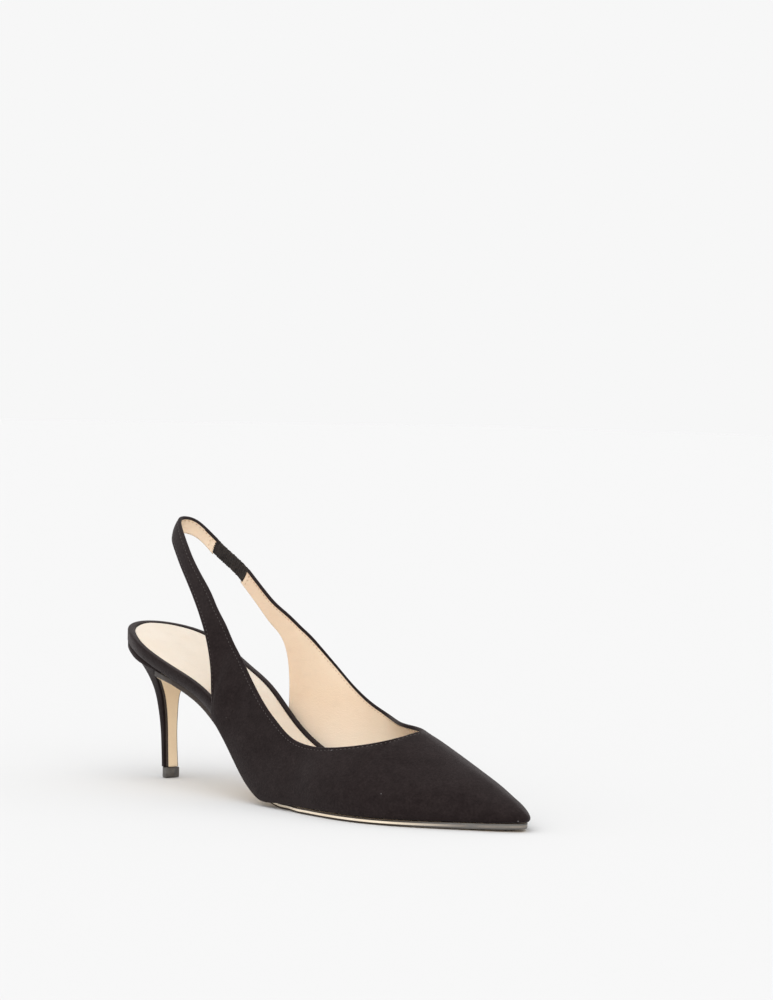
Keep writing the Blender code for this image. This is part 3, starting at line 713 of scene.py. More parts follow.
class Nodes:
    """Short calls for building a material's nodes."""

    def __init__(self, name):
        self.material = bpy.data.materials.new(name)
        self.material.use_nodes = True
        self.tree = self.material.node_tree
        self.shader = self.tree.nodes["Principled BSDF"]
        self.place = self.new("ShaderNodeTexCoord").outputs["Object"]

    def new(self, kind, inputs=(), **settings):
        node = self.tree.nodes.new(kind)
        for key, value in settings.items():
            setattr(node, key, value)
        self.fill(node, inputs)
        return node

    def fill(self, node, inputs):
        """Gives each named input another node's output, or a number or colour of its own."""
        for name, value in dict(inputs).items():
            if isinstance(value, bpy.types.NodeSocket):
                self.tree.links.new(value, node.inputs[name])
            else:
                node.inputs[name].default_value = value

    def scaled(self, scales):
        return self.new("ShaderNodeMapping", {"Scale": scales, "Vector": self.place}).outputs["Vector"]

    def noise(self, size, detail=3.0, roughness=0.6, stretch=(1, 1, 1)):
        """A noise whose lumps are about this many metres across."""
        vector = self.scaled([value / size for value in stretch])
        inputs = {"Scale": 1.0, "Detail": detail, "Roughness": roughness, "Vector": vector}
        return self.new("ShaderNodeTexNoise", inputs).outputs["Fac"]

    def cells(self, size):
        """The distance to the nearest of many scattered points."""
        inputs = {"Scale": 1.0, "Vector": self.scaled([1 / size] * 3)}
        return self.new("ShaderNodeTexVoronoi", inputs).outputs["Distance"]

    def spread(self, value, low, high, from_low=0.3, from_high=0.7):
        """Maps a noise to a range of numbers."""
        inputs = {"Value": value, "From Min": from_low, "From Max": from_high,
                  "To Min": low, "To Max": high}
        return self.new("ShaderNodeMapRange", inputs).outputs["Result"]

    def along(self, axis, start, end):
        """Goes from 0 to 1 between two places along an axis of the shoe."""
        split = self.new("ShaderNodeSeparateXYZ", {"Vector": self.place})
        return self.spread(split.outputs[axis], 0.0, 1.0, start, end)

    def ramp(self, noise, tones):
        """Colours from the low to the high values of a noise; a third one stands between them."""
        node = self.new("ShaderNodeValToRGB", {"Fac": self.spread(noise, 0.0, 1.0)})
        node.color_ramp.elements[0].color = (*tones[0], 1)
        node.color_ramp.elements[1].color = (*tones[-1], 1)
        for tone in tones[1:-1]:
            node.color_ramp.elements.new(0.55).color = (*tone, 1)
        return node.outputs["Color"]

    def mix(self, share, first, second):
        if not isinstance(first, bpy.types.NodeSocket):
            first = (*first, 1)
        inputs = {"Factor": share, "A": first, "B": (*second, 1)}
        return self.new("ShaderNodeMix", inputs, data_type="RGBA").outputs["Result"]

    def tint(self, base, noise, most, tone, darkened=1.0):
        """Mixes a tone in where a noise is high, up to a share."""
        return self.mix(self.spread(noise, 0.0, most), base, [value * darkened for value in tone])

    def finish(self, colour, roughness, heights, numbers):
        """Fills the shader; each height has how many metres it stands, and their bumps are chained."""
        bump = {"Strength": 1.0}
        for height, depth in heights:
            bump.update({"Distance": depth, "Height": height})
            bump["Normal"] = self.new("ShaderNodeBump", bump).outputs["Normal"]
        self.fill(self.shader, {"Base Color": colour, "Roughness": roughness, "Normal": bump["Normal"]})
        self.fill(self.shader, numbers)
        return self.material


def suede(name, sheen, high=None):
    """Brushed black suede: a short nap in strokes, with lint, and, where a tone is given, a painted sheen
    that makes it lighter and greyer high up.
    """
    n = Nodes(name)
    strokes = n.noise(0.016, 4.0, 0.6, (0.6, 1.0, 1.5))
    mottle = n.noise(0.0042, 3.0, 0.65)
    nap = n.noise(0.0011, 5.0, 0.7)
    fibres = n.noise(0.00028, 3.0, 0.7)
    tone = n.ramp(strokes, (SUEDE_DARK, SUEDE_LIGHT))
    # Painted sheen: the colour turns lighter and greyer high up, in place of the sheen on the strap.
    if high:
        tone = n.mix(n.along("Z", 0.070, 0.118), tone, high)
    tone = n.tint(tone, mottle, 0.42, SUEDE_LIGHT, 1.7)
    tone = n.tint(tone, nap, 0.60, SUEDE_DARK, 0.45)
    lint = n.spread(n.cells(0.0052), 1.0, 0.0, 0.040, 0.075)
    rare = n.spread(n.noise(0.011, 1.0, 0.5), 0.0, 1.0, 0.60, 0.64)
    speck = n.new("ShaderNodeMath", {0: lint, 1: rare}, operation="MULTIPLY")
    tone = n.mix(speck.outputs["Value"], tone, LINT)
    heights = (strokes, 0.00018), (nap, 0.00016), (fibres, 0.00007)
    return n.finish(tone, n.spread(nap, 0.84, 1.0), heights, {
        "Specular IOR Level": 0.05, "Sheen Weight": sheen,
        "Sheen Roughness": 0.42, "Sheen Tint": SUEDE_SHEEN})


def leather(name, tones, gloss, low=None):
    """Smooth lining leather: fine grain, slight clouding, and, where a tone is given, painted bounce light
    from the sock that makes it paler low down.
    """
    n = Nodes(name)
    clouds = n.noise(0.030, 3.0, 0.5)
    grains = n.cells(LEATHER_GRAIN)
    pores = n.noise(LEATHER_GRAIN * 0.7)
    creases = n.noise(0.0035, 4.0, 0.6, (0.5, 0.5, 1.0))
    tone = n.ramp(clouds, tones)
    tone = n.mix(n.spread(creases, 0.0, 0.12, 0.52, 0.75), tone, [value * 0.62 for value in tones[0]])
    # Painted bounce light: paler low down, where light comes up off the sock.
    if low:
        tone = n.mix(n.along("Z", 0.045, 0.012), tone, low)
    tone = n.tint(tone, pores, 0.16, tones[0], 0.72)
    heights = (clouds, 0.00025), (creases, 0.00012), (grains, 0.00005), (pores, 0.00004)
    return n.finish(tone, n.spread(pores, gloss - 0.07, gloss + 0.10), heights, {
        "Specular IOR Level": 0.42, "Subsurface Weight": 0.04, "Subsurface Scale": 0.002})


def sole_bottom(name):
    """Tan sole leather, polished, with faint scratches along the sole."""
    n = Nodes(name)
    clouds = n.noise(0.024, 4.0, 0.55)
    scratches = n.noise(0.0011, 4.0, 0.6, (0.05, 1.0, 1.0))
    pores = n.noise(0.00045)
    tone = n.tint(n.ramp(clouds, SOLE_TONES), scratches, 0.20, SOLE_SCRATCH)
    return n.finish(tone, n.spread(scratches, 0.30, 0.46), ((scratches, 0.00005), (pores, 0.00004)),
                    {"Coat Weight": 0.15, "Coat Roughness": 0.30})


def sole_edge(name, tones, roughness):
    """The sole's trimmed and waxed edge, with layers that run along it, and a painted grey reflection round
    the toe.
    """
    n = Nodes(name)
    layers = n.noise(0.0016, 3.0, 0.6, (0.06, 0.06, 1.6))
    wear = n.noise(0.007)
    tone = n.tint(tones[1], layers, 0.6, tones[0])
    # Painted reflection: the edge turns grey round the toe, where it curves.
    tone = n.mix(n.along("X", 0.080, 0.108), tone, TOE_EDGE_PAINTED_REFLECTION)
    tone = n.tint(tone, wear, 0.25, tones[0], 0.8)
    return n.finish(tone, n.spread(wear, roughness - 0.08, roughness + 0.12),
                    ((layers, 0.00007), (wear, 0.00006)), {"Specular IOR Level": 0.22})


def elastic_cloth(name):
    """Woven elastic: fine cross threads over the modelled ribs."""
    n = Nodes(name)
    threads = n.noise(0.00060, 3.0, 0.6, (1.0, 0.6, 1.0))
    lumps = n.noise(0.0022, 2.0)
    fuzz = n.noise(0.0002)
    tone = n.tint(n.ramp(threads, ELASTIC_TONES), lumps, 0.6, ELASTIC_LUMP)
    heights = (lumps, 0.00040), (threads, 0.00025), (fuzz, 0.00005)
    return n.finish(tone, n.spread(fuzz, 0.66, 0.88), heights, {
        "Specular IOR Level": 0.15, "Sheen Weight": 0.08, "Sheen Roughness": 0.40})


def thread(name, colour):
    n = Nodes(name)
    twist = n.noise(0.0003, 2.0, 0.5)
    tone = n.tint(colour, twist, 0.6, colour, 0.45)
    return n.finish(tone, 0.45, ((twist, 0.00006),), {"Specular IOR Level": 0.2})


def rubber(name):
    """Moulded top-lift rubber, dull, with scuffs."""
    n = Nodes(name)
    scuffs = n.noise(0.0022, 4.0)
    grit = n.noise(0.0004)
    return n.finish(n.ramp(scuffs, RUBBER_TONES), n.spread(scuffs, 0.42, 0.62),
                    ((scuffs, 0.00005), (grit, 0.00005)), {})


UPPER_SUEDE = suede("upper_suede", 0.14, SUEDE_PAINTED_SHEEN)
RIM_SUEDE = suede("rim_suede", 0.20)
HEEL_SUEDE = suede("heel_suede", 0.12)
LINING = leather("lining_leather", LINING_TONES, 0.50, LINING_PAINTED_BOUNCE)
SOCK = leather("sock_leather", SOCK_TONES, 0.46)
SOLE = sole_bottom("sole_leather")
EDGE_PALE_AND_HIGHLIGHT = sole_edge("sole_edge_pale_and_highlight", PALE_EDGE_AND_HIGHLIGHT_TONES, 0.40)
EDGE_DARK_AND_SHADOW = sole_edge("sole_edge_dark_and_shadow", DARK_EDGE_AND_SHADOW_TONES, 0.50)
ELASTIC = elastic_cloth("elastic")
THREAD_BLACK = thread("black_thread", BLACK_THREAD)
THREAD_PALE = thread("pale_thread", PALE_THREAD)
RUBBER = rubber("rubber")


def eased_join(grid, joined):
    """Evens out the rows on both sides of the throat's own row, less and less towards the edges."""
    rows, columns = grid.shape[:2]
    hold = [ease(min(column, columns - 1 - column), 2, 16) for column in range(columns)]
    near = [1 - ease(abs(row - joined), JOIN_ROWS / 2, JOIN_ROWS) for row in range(rows)]
    share = np.outer(near, hold)[:, :, None]
    for passed in range(JOIN_PASSES):
        evened = grid.copy()
        evened[1:-1] = (grid[:-2] + 2 * grid[1:-1] + grid[2:]) / 4
        grid = grid + (evened - grid) * share
    return grid


def upper_grids():
    """For each side, from the toe back: the outer face, its places, and which rows stand on the sole."""
    first = turn_at(THROAT_SHARE) - THROAT_TURN
    turns = [first * row / VAMP_ROWS for row in range(VAMP_ROWS)]
    turns += [first + THROAT_TURN * row / THROAT_ROWS for row in range(THROAT_ROWS)]
    grids = {}
    for side in (OUTER, INNER):
        sections = [(arch(turn, side), True) for turn in turns] + SECTIONS[side]
        rows = [section_points(corners) for corners, stands in sections]
        grid = eased_join(np.array([points for points, places in rows]), len(turns))
        places = np.array([places for points, places in rows])
        grids[side] = (grid, places, np.array([stands for corners, stands in sections]))
    return grids, len(turns)


GRIDS, JOINED = upper_grids()
NORMALS = {side: sheet_normals(GRIDS[side][0], side, GRIDS[-side][0], JOINED)
           for side in (OUTER, INNER)}


def free_edges():
    """The topline from end to end, and each strap's lower edge and end."""
    lateral, medial = GRIDS[OUTER][0], GRIDS[INNER][0]
    topline = np.concatenate([lateral[JOINED:, -1][::-1], medial[JOINED + 1:, -1]])
    lines = [topline]
    for side in (OUTER, INNER):
        grid, places, stands = GRIDS[side]
        first = int(np.argmax(~stands)) - 1
        lines.append(grid[first:, 0])
        lines.append(grid[-1])
    return lines


EDGES = free_edges()


def make_upper():
    """The wall: suede outside, folded over at the topline and the strap's edges, leather inside."""
    outer_points = []
    inner_points = []
    faces = []
    slots = []
    count = sum(places.size for grid, places, stands in GRIDS.values())
    for side in (OUTER, INNER):
        grid, places, stands = GRIDS[side]
        normals = NORMALS[side]
        rows, columns = places.shape
        first = len(outer_points)
        edge = distance_to(EDGES, grid)
        fold = distance_to(EDGES[:1], grid)
        feather = np.where(stands[:, None], places, 1.0)
        turn_in = rolled(edge, EDGE_ROUND) + rolled(feather, EDGE_ROUND * 0.6)
        outer = grid - normals * (turn_in + groove(edge))[:, :, None]
        lining = LINING_STEP * np.clip((fold - FOLD_WIDTH) / (0.3 * FOLD_WIDTH), 0, 1)
        lining += 0.4 * groove(fold)
        inward = normals.copy()
        inward[stands, 0, 2] = 0.0
        inward[stands, 0] /= np.linalg.norm(inward[stands, 0], axis=1)[:, None]
        inner = grid - inward * (WALL - rolled(edge, EDGE_ROUND) - lining)[:, :, None]
        outer_points += list(outer.reshape(-1, 3))
        inner_points += list(inner.reshape(-1, 3))
        faces += grid_faces(rows, columns, first, side == OUTER)
        faces += grid_faces(rows, columns, count + first, side == INNER)
        mean = (fold[:-1, :-1] + fold[1:, :-1] + fold[:-1, 1:] + fold[1:, 1:]) / 4
        slots += [0] * mean.size + [0 if value < FOLD_WIDTH else 1 for value in mean.reshape(-1)]
        index = np.arange(first, first + places.size).reshape(rows, columns)
        for line in (index[:, 0], index[JOINED:, -1], index[-1]):
            for start, end in zip(line[:-1].tolist(), line[1:].tolist()):
                faces.append((start, end, count + end, count + start))
                slots.append(0)
    return new_mesh("upper_shell", outer_points + inner_points, faces, [UPPER_SUEDE, LINING], slots)


def in_groove(point, normal):
    """A place of the thread in its groove, with the direction out of the surface."""
    normal = unit(normal)
    return point - normal * STITCH_SINK, normal


def topline_row(side):
    """The thread's places on the outer face beside the topline, from the ridge to the strap's end."""
    grid, places, stands = GRIDS[side]
    edge = distance_to(EDGES[:1], grid)
    line = []
    for row in range(JOINED - THROAT_ROWS, grid.shape[0]):
        below = edge[row, ::-1]
        column = int(np.argmax(below >= STITCH_INSET))
        if column == 0:
            continue
        share = (STITCH_INSET - below[column - 1]) / (below[column] - below[column - 1])
        points = grid[row, ::-1]
        normals = NORMALS[side][row, ::-1]
        line.append(in_groove(*[values[column - 1] + (values[column] - values[column - 1]) * share
                                for values in (points, normals)]))
    return line


def strap_row(side):
    """The same along the strap's lower edge, from the corner to the strap's end."""
    grid, places, stands = GRIDS[side]
    line = []
    for row in range(int(np.argmax(~stands)) + 1, grid.shape[0]):
        point = along_line(STITCH_INSET, places[row], grid[row])
        normal = along_line(STITCH_INSET, places[row], NORMALS[side][row])
        line.append(in_groove(point, normal))
    return line


def lining_row(line):
    """The same line on the inner face, with its directions turned round."""
    return [(point - normal * (WALL - LINING_STEP * 1.6), -normal) for point, normal in line]


def end_row(side):
    """A line across the lining near the strap's end, between its folded edges."""
    grid, places, stands = GRIDS[side]
    row = grid.shape[0] - 1 - int(np.argmax(lengths_along(grid[::-1, 0]) >= END_STITCH_INSET))
    between = (places[row] > FOLD_WIDTH) & (places[row] < places[row][-1] - FOLD_WIDTH)
    normals = NORMALS[side][row][between]
    return list(zip(grid[row][between] - normals * WALL, -normals))


def make_stitches(name, lines, material, size):
    """Rows of small thread stitches, each sunk a little at both ends."""
    radius = THREAD_RADIUS * size
    points = []
    faces = []
    for line in lines:
        places, normals = [np.array(values) for values in zip(*line)]
        lengths = lengths_along(places)
        for number in range(int(lengths[-1] / STITCH_PITCH)):
            first = len(points)
            for share in STITCH_RINGS:
                at = (number + 0.5) * STITCH_PITCH + share * STITCH_LENGTH * size
                normal = along_line(at, lengths, normals)
                before, after = along_line(np.array((at - 1e-4, at + 1e-4)), lengths, places)
                ahead = unit(after - before)
                sideways = unit(np.cross(normal, ahead))
                width = radius * math.sqrt(max(0.04, 1 - (share / 0.55) ** 2))
                sunk = along_line(at, lengths, places) + normal * radius * (0.55 - 4.4 * share ** 2)
                for corner in range(STITCH_SIDES):
                    angle = corner / STITCH_SIDES * 2 * math.pi
                    points.append(sunk + (sideways * math.cos(angle) + normal * math.sin(angle)) * width)
            faces += ring_faces(first, len(STITCH_RINGS), STITCH_SIDES)
            faces.append(range(first, first + STITCH_SIDES)[::-1])
            faces.append(range(len(points) - STITCH_SIDES, len(points)))
    return new_mesh(name, points, faces, [material])


def insole_depth(x):
    along = x / LENGTH
    back = (INSOLE_BACK - INSOLE_FRONT) * ease(along, 0.62, 0.44)
    toe = (INSOLE_FRONT - INSOLE_TOE) * ease(along, 0.88, 0.96)
    return (INSOLE_FRONT + back - toe) * slant(x)


def rim_width(along):
    """Width of the wrapped rim, which is narrower where the toe gets thin."""
    return RIM_WIDTH + (RIM_TOE_WIDTH - RIM_WIDTH) * ease(along, 0.80, 0.90)


def rim_profile(width):
    """The wrapped rim from its side over the top to the floor: how far in, and how high."""
    profile = []
    for step in range(6):
        angle = step / 5 * math.pi / 2
        profile.append((RIM_ROUND * (1 - math.cos(angle)), RIM_ROUND * (math.sin(angle) - 1)))
    for step in range(5):
        angle = step / 4 * math.pi / 2
        profile.append((width - RIM_ROUND * (1 - math.sin(angle)), RIM_ROUND * (math.cos(angle) - 1)))
    profile.append((width + CLEARANCE, -RIM_HEIGHT))
    return profile


def make_insole():
    """The insole's board, with suede wrapped over its edge."""
    top = []
    bottom = []
    for row in range(BOTTOM_ROWS + 1):
        turn = row / BOTTOM_ROWS
        profile = rim_profile(rim_width(station(turn)))
        edges = []
        for side in (OUTER, INNER):
            edge = []
            for inset, up in profile:
                point = rim_place(turn, side, -inset)
                point[2] += insole_depth(point[0]) + up
                edge.append(point)
            edges.append(edge)
        floor = across(edges[0][-1], edges[1][-1], (0.25, 0.5, 0.75))
        for point in floor:
            point[2] = underside(point[0], point[1]) + insole_depth(point[0]) - RIM_HEIGHT
        line = edges[0] + floor + edges[1][::-1]
        top.append(line)
        bottom.append([(x, y, underside(x, y)) for x, y, z in line])
    return slab("insole_rim", top, bottom, (False, False), [RIM_SUEDE])


def make_sock():
    """The sock: a leather sheet with a slightly padded middle and soft edges."""
    first = turn_at(SOCK_END_SHARE)
    shares = [(1 - math.cos(step / SOCK_COLUMNS * math.pi)) / 2 for step in range(SOCK_COLUMNS + 1)]
    top = []
    bottom = []
    for row in range(BOTTOM_ROWS + 1):
        turn = first + (1 - first) * row / BOTTOM_ROWS
        inset = rim_width(station(turn)) + CLEARANCE
        outer, inner = [rim(turn, side, -inset) for side in (OUTER, INNER)]
        width = np.linalg.norm(inner - outer)
        line = []
        floor = []
        for share, (x, y) in zip(shares, across(outer, inner, shares)):
            z = underside(x, y) + insole_depth(x) - RIM_HEIGHT + CLEARANCE
            from_edge = min(share, 1 - share) * width
            pad = SOCK_THICKNESS * (0.35 + 0.65 * ease(from_edge, 0.0, SOCK_EDGE))
            crown = SOCK_CROWN * ease(from_edge, 0.0, SOCK_CROWN_WIDTH)
            floor.append((x, y, z))
            line.append((x, y, z + pad + crown))
        top.append(line)
        bottom.append(floor)
    return slab("sock", top, bottom, (True, False), [SOCK])


def cup_depth(x):
    """How deep the heel's cup is under the insole; it thins to a lip at the breast."""
    return (CUP_HEIGHT + (LIP_THICKNESS - CUP_HEIGHT) * ease(x, 0.45 * SEAT_LENGTH, SEAT_LENGTH)) * slant(x)


def heel_height(x, up):
    """Height of a point of the heel that is the given share of the way from top-lift to cup."""
    foot = TOP_LIFT_HEIGHT + CLEARANCE
    return foot + up * (underside(x, 0) - CLEARANCE - cup_depth(x) - foot)


def heel_size(up):
    """Back, breast and half width of the heel's section."""
    return (float(HEEL_CURVES["back"](up)) * SEAT_LENGTH, float(HEEL_CURVES["front"](up)) * SEAT_LENGTH,
            float(HEEL_CURVES["half"](up)) * HEEL_TIP_WIDTH / 2)


def stem_section(up, spread=0.0, forward=0.0):
    """A D-shaped section: from the outer corner of the breast round the back to the inner one."""
    back, front, half = heel_size(up)
    centre = middle(0) * up
    section = []
    for step in range(-SEAT_STEPS, SEAT_STEPS + 1):
        angle = (step + SEAT_STEPS) / (2 * SEAT_STEPS) * math.pi
        reach = math.sin(angle)
        width = -math.copysign(abs(math.cos(angle)) ** 0.8, math.cos(angle))
        x = front + forward + spread - (front + forward - back + 2 * spread) * reach
        y = centre + (half + spread) * width
        section.append((x, y, heel_height(x, up)))
    return section


def seat_section(inset, under):
    """A section along the insole's own outline, from the lip round the back."""
    first = turn_at(SEAT_LENGTH / LENGTH)
    turns = [first + (1 - first) * step / SEAT_STEPS for step in range(SEAT_STEPS + 1)]
    outer = [rim(turn, OUTER, -inset) for turn in turns]
    inner = [rim(turn, INNER, -inset) for turn in turns[:-1]]
    return [(x, y, underside(x, y) - CLEARANCE - under(x)) for x, y in outer + inner[::-1]]


def make_heel():
    """The heel's block, covered in suede, with a soft edge where its cup meets the insole."""
    top_share = HEEL[-1][0]
    sections = [stem_section(top_share * row / HEEL_ROWS) for row in range(HEEL_ROWS + 1)]
    stem = np.array(sections[-1])
    seat = np.array(seat_section(2 * SEAT_INSET, cup_depth))
    for step in range(1, 6):
        share = step / 6
        sections.append(list(stem + (seat - stem) * share))
    sections.append(list(seat))
    sections.append(seat_section(0.6 * SEAT_INSET, lambda x: cup_depth(x) * 0.82))
    sections.append(seat_section(0.5 * SEAT_INSET, lambda x: cup_depth(x) * 0.25))
    sections.append(seat_section(2 * SEAT_INSET, lambda x: 0.0))
    return loft("heel_cover", sections, [HEEL_SUEDE])


def make_top_lift():
    """The rubber piece under the heel, with its edges broken."""
    sections = []
    for up, inset in ((0.0, TOP_LIFT_BREAK), (TOP_LIFT_BREAK, 0.0),
                      (TOP_LIFT_HEIGHT - TOP_LIFT_BREAK, 0.0), (TOP_LIFT_HEIGHT, TOP_LIFT_BREAK)):
        section = stem_section(0.0, -TOP_LIFT_INSET - inset, CLEARANCE + FLAP_THICKNESS)
        sections.append([(x, y, up) for x, y, z in section])
    return loft("top_lift_rubber", sections, [RUBBER])


def sole_thickness(along):
    blend = ease(along, 0.54, 0.42)
    return SOLE_THICKNESS + (WAIST_THICKNESS - SOLE_THICKNESS) * blend


def sole_reach(along):
    """How far the outsole's edge stands out from the insole's."""
    blend = ease(along, 0.62, 0.565)
    return SOLE_EDGE_OUT - (SOLE_EDGE_OUT + WAIST_EDGE_IN) * blend


def sole_rows():
    """Left edge, right edge and thickness of the outsole, from the toe back to the heel."""
    last = turn_at((SEAT_LENGTH + FLAP_BEND) / LENGTH)
    rows = []
    for row in range(BOTTOM_ROWS + 1):
        turn = last * row / BOTTOM_ROWS
        along = station(turn)
        edges = [rim_place(turn, side, sole_reach(along), -CLEARANCE) for side in (OUTER, INNER)]
        rows.append((edges[0], edges[1], sole_thickness(along), along))
    return rows


def breast_rows():
    """The same for the flap that runs on down the heel's breast."""
    top_share = HEEL[-1][0]
    ups = [top_share * (1 - step / FLAP_ROWS) for step in range(FLAP_ROWS + 1)]
    places = [np.array((heel_size(up)[1], heel_height(heel_size(up)[1], up))) for up in ups]
    rows = []
    for index, up in enumerate(ups):
        before = places[max(0, index - 1)]
        after = places[min(len(places) - 1, index + 1)]
        ahead = unit(after - before)
        x, z = places[index] + np.array((-ahead[1], ahead[0])) * CLEARANCE
        half = heel_size(up)[2] - FLAP_MARGIN
        centre = middle(0) * up
        thickness = FLAP_THICKNESS + (WAIST_THICKNESS - FLAP_THICKNESS) * ease(up, 0.7, top_share)
        rows.append((np.array((x, centre - half, z)), np.array((x, centre + half, z)), thickness, 0.0))
    return rows


def make_outsole():
    """The leather sole and its flap: rounded edges, a pale trimmed edge brightened as a painted highlight,
    and a dark line of painted contact shadow under it.
    """
    rows = sole_rows() + breast_rows()
    middles = [(outer + inner) / 2 for outer, inner, thickness, along in rows]
    top = []
    bottom = []
    for index, (outer, inner, thickness, along) in enumerate(rows):
        ahead = middles[min(len(rows) - 1, index + 1)] - middles[max(0, index - 1)]
        ahead /= math.hypot(ahead[0], ahead[2])
        down = np.array((-ahead[2], 0.0, ahead[0])) * thickness
        width = np.linalg.norm(inner - outer)
        edge = min(SOLE_EDGE_ROUND / max(width, 1e-6), 0.2)
        shares = [edge * inset for inset in SOLE_EDGE_INSETS]
        shares += [edge + (1 - 2 * edge) * step / SOLE_COLUMNS for step in range(1, SOLE_COLUMNS)]
        shares += [1 - edge * inset for inset in SOLE_EDGE_INSETS[::-1]]
        depths = SOLE_EDGE_SINKS + (1.0,) * (SOLE_COLUMNS - 1) + SOLE_EDGE_SINKS[::-1]
        upper_line = across(outer, inner, shares)
        top.append(upper_line)
        bottom.append([point + down * depth for point, depth in zip(upper_line, depths)])
    foot = TOP_LIFT_HEIGHT + CLEARANCE
    bottom[-1] = [np.array((point[0], point[1], foot)) for point in bottom[-1]]

    def slot_of(kind, row, column):
        on_waist = row > BOTTOM_ROWS or rows[row][3] < PALE_EDGE_START
        # Slot 2 is the dark edge. Its top strip and the black-painted waist are its own colour, and its
        # lowest strips on the forefoot are painted contact shadow. Slot 1 is the pale band, the edge's own
        # cream brightened as a painted highlight.
        if kind == "side" or (kind == "bottom" and column in (1, 2)):
            return 2
        if kind == "bottom" and column == 0:
            return 2 if on_waist else 1
        return 0

    return slab("sole", top, bottom, (False, True), [SOLE, EDGE_PALE_AND_HIGHLIGHT, EDGE_DARK_AND_SHADOW], slot_of)


def strap_end(side):
    """Middle of the elastic in a strap's end, its width there, and the way the strap runs on."""
    sections = [corners for corners, stands in SECTIONS[side]]
    low, top = sections[-1][0], sections[-1][3]
    ahead = unit((low + top - sections[-3][0] - sections[-3][3]) / 2)
    centre = low + (top - low) * (0.5 + ELASTIC_LIFT_SHARE)
    return centre - ahead * ELASTIC_TUCK, (top - low) * ELASTIC_SHARE, ahead


def make_elastic():
    """The elastic: a ribbed band, unevenly gathered, tucked into both strap ends."""
    start, start_width, start_ahead = strap_end(OUTER)
    end, end_width, end_ahead = strap_end(INNER)
    reach = np.linalg.norm(end - start) / 3
    corners = np.array((start, start + start_ahead * reach, end + end_ahead * reach, end))
    front = []
    back = []
    for step in range(ELASTIC_ROWS + 1):
        share = step / ELASTIC_ROWS
        ahead = curve_point(corners, min(1, share + 0.01)) - curve_point(corners, max(0, share - 0.01))
        width = start_width + (end_width - start_width) * share
        outwards = unit(np.cross(width, ahead))
        centre = curve_point(corners, share) - outwards * (WALL / 2)
        free = math.sin(share * math.pi)
        gather = math.sin(share * GATHERS * math.pi + 1.3 * math.sin(share * 17)) * free ** 0.4
        narrowed = width * (1 - 0.03 * free + 0.012 * gather)
        line_front = []
        line_back = []
        for column in range(ELASTIC_COLUMNS + 1):
            place = column / ELASTIC_COLUMNS
            rib = RIB_HEIGHT * abs(math.sin(place * ELASTIC_RIBS * math.pi))
            wave = GATHER_HEIGHT * gather * math.sin(place * 5.0 + share * 31.0)
            edge = 1 - abs(2 * place - 1) ** 10
            thick = (ELASTIC_HALF_WALL + rib) * (0.55 + 0.45 * edge)
            point = centre + narrowed * (place - 0.5) + outwards * wave
            line_front.append(point + outwards * thick)
            line_back.append(point - outwards * thick)
        front.append(line_front)
        back.append(line_back)
    return slab("elastic_band", front, back, (True, True), [ELASTIC])


def make_camera():
    """Places the camera so that the aim point is seen at its own pixel of the photograph."""
    back = Vector((math.sin(CAMERA_AZIMUTH) * math.cos(CAMERA_ELEVATION),
                   -math.cos(CAMERA_AZIMUTH) * math.cos(CAMERA_ELEVATION), math.sin(CAMERA_ELEVATION)))
    level = Vector((math.cos(CAMERA_AZIMUTH), math.sin(CAMERA_AZIMUTH), 0))
    up = back.cross(level)
    right = level * math.cos(CAMERA_ROLL) + up * math.sin(CAMERA_ROLL)
    above = up * math.cos(CAMERA_ROLL) - level * math.sin(CAMERA_ROLL)
    across_share = (AIM_PIXEL[0] - IMAGE_SIZE[0] / 2) / FOCAL_PIXELS
    down_share = (AIM_PIXEL[1] - IMAGE_SIZE[1] / 2) / FOCAL_PIXELS
    place = Vector(AIM) + ORIGIN + back * CAMERA_DISTANCE
    place += above * (down_share * CAMERA_DISTANCE) - right * (across_share * CAMERA_DISTANCE)
    data = bpy.data.cameras.new("camera")
    data.sensor_width = SENSOR_WIDTH
    data.lens = FOCAL_PIXELS * SENSOR_WIDTH / IMAGE_SIZE[1]
    camera = add_object("camera", data)
    matrix = Matrix((right, above, back)).transposed().to_4x4()
    matrix.translation = place
    camera.matrix_world = matrix
    bpy.context.scene.camera = camera


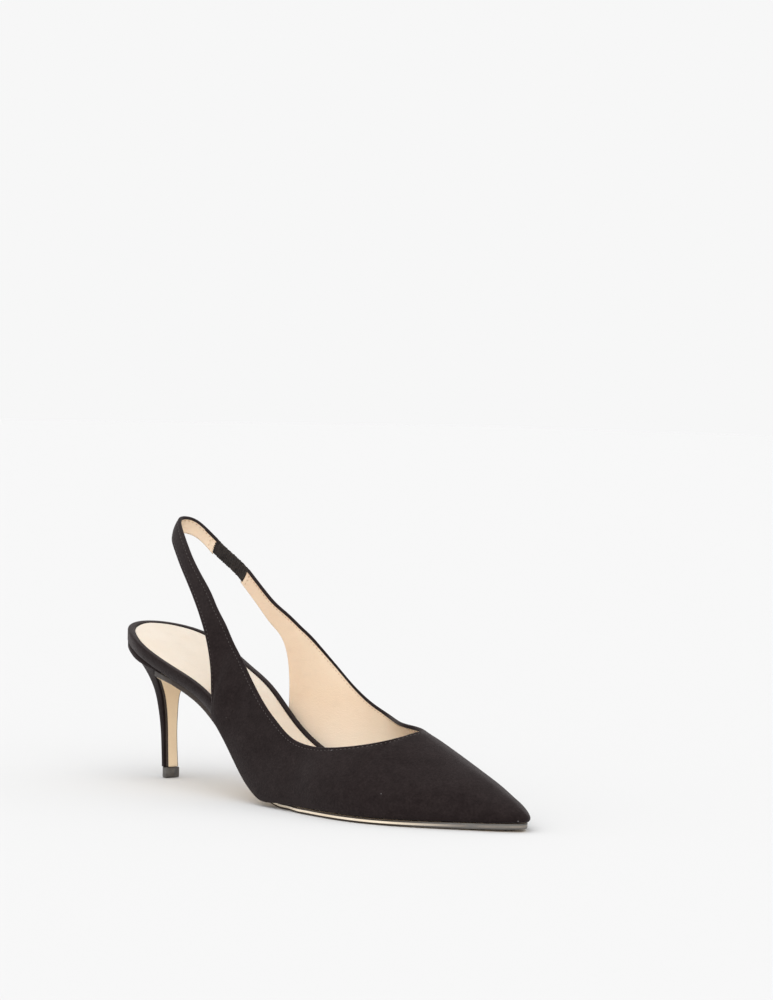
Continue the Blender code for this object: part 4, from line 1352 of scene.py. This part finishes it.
def make_stage():
    """A plain pale floor."""
    mesh = bpy.data.meshes.new("floor")
    corners = [(x * FLOOR_HALF, y * FLOOR_HALF, 0) for x, y in ((-1, -1), (1, -1), (1, 1), (-1, 1))]
    mesh.from_pydata(corners, [], [(0, 1, 2, 3)])
    n = Nodes("floor")
    shade = (FLOOR_SHADE, FLOOR_SHADE, FLOOR_SHADE, 1)
    n.fill(n.shader, {"Base Color": shade, "Roughness": 1.0, "Specular IOR Level": 0.0})
    mesh.materials.append(n.material)
    floor = add_object("floor", mesh)
    floor.location = (0, 0, -FLOOR_GAP)


def make_light():
    """Soft studio light: a bright pale room, and suns that light the floor evenly."""
    world = bpy.data.worlds.new("world")
    bpy.context.scene.world = world
    world.use_nodes = True
    world.node_tree.nodes["Background"].inputs["Color"].default_value = (1.0, 1.0, 1.0, 1)
    world.node_tree.nodes["Background"].inputs["Strength"].default_value = ROOM_LIGHT
    for name, (direction, strength, spread) in SUNS.items():
        data = bpy.data.lights.new(name, "SUN")
        data.energy = strength
        data.angle = math.radians(spread)
        add_object(name, data).rotation_euler = Vector(direction).to_track_quat("Z", "Y").to_euler()


def put(piece, slot_name, *nodes):
    """Lets a piece ride on the shoe, and stand for the nodes that it replaces."""
    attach(piece, "root")
    if nodes:
        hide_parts(*nodes)


put(make_upper(), "upper_suede", "upper")
put(make_insole(), "rim_suede", "insole")
put(make_sock(), "sock_leather", "sock_lining")
put(make_outsole(), "sole_leather", "outsole")
put(make_heel(), "heel_suede", "heel")
put(make_top_lift(), "rubber", "top_lift")
put(make_elastic(), "elastic", "elastic_gore")

TOP_ROW = topline_row(OUTER)[::-1] + topline_row(INNER)
OUTER_ROWS = [TOP_ROW, strap_row(OUTER), strap_row(INNER)]
LINING_ROWS = [lining_row(TOP_ROW), end_row(OUTER), end_row(INNER)]
put(make_stitches("outer_stitches", OUTER_ROWS, THREAD_BLACK, 1.0), "upper_suede")
put(make_stitches("lining_stitches", LINING_ROWS, THREAD_PALE, 0.8), "sock_leather")

bpy.context.scene.view_settings.view_transform = "Standard"
make_camera()
make_stage()
make_light()
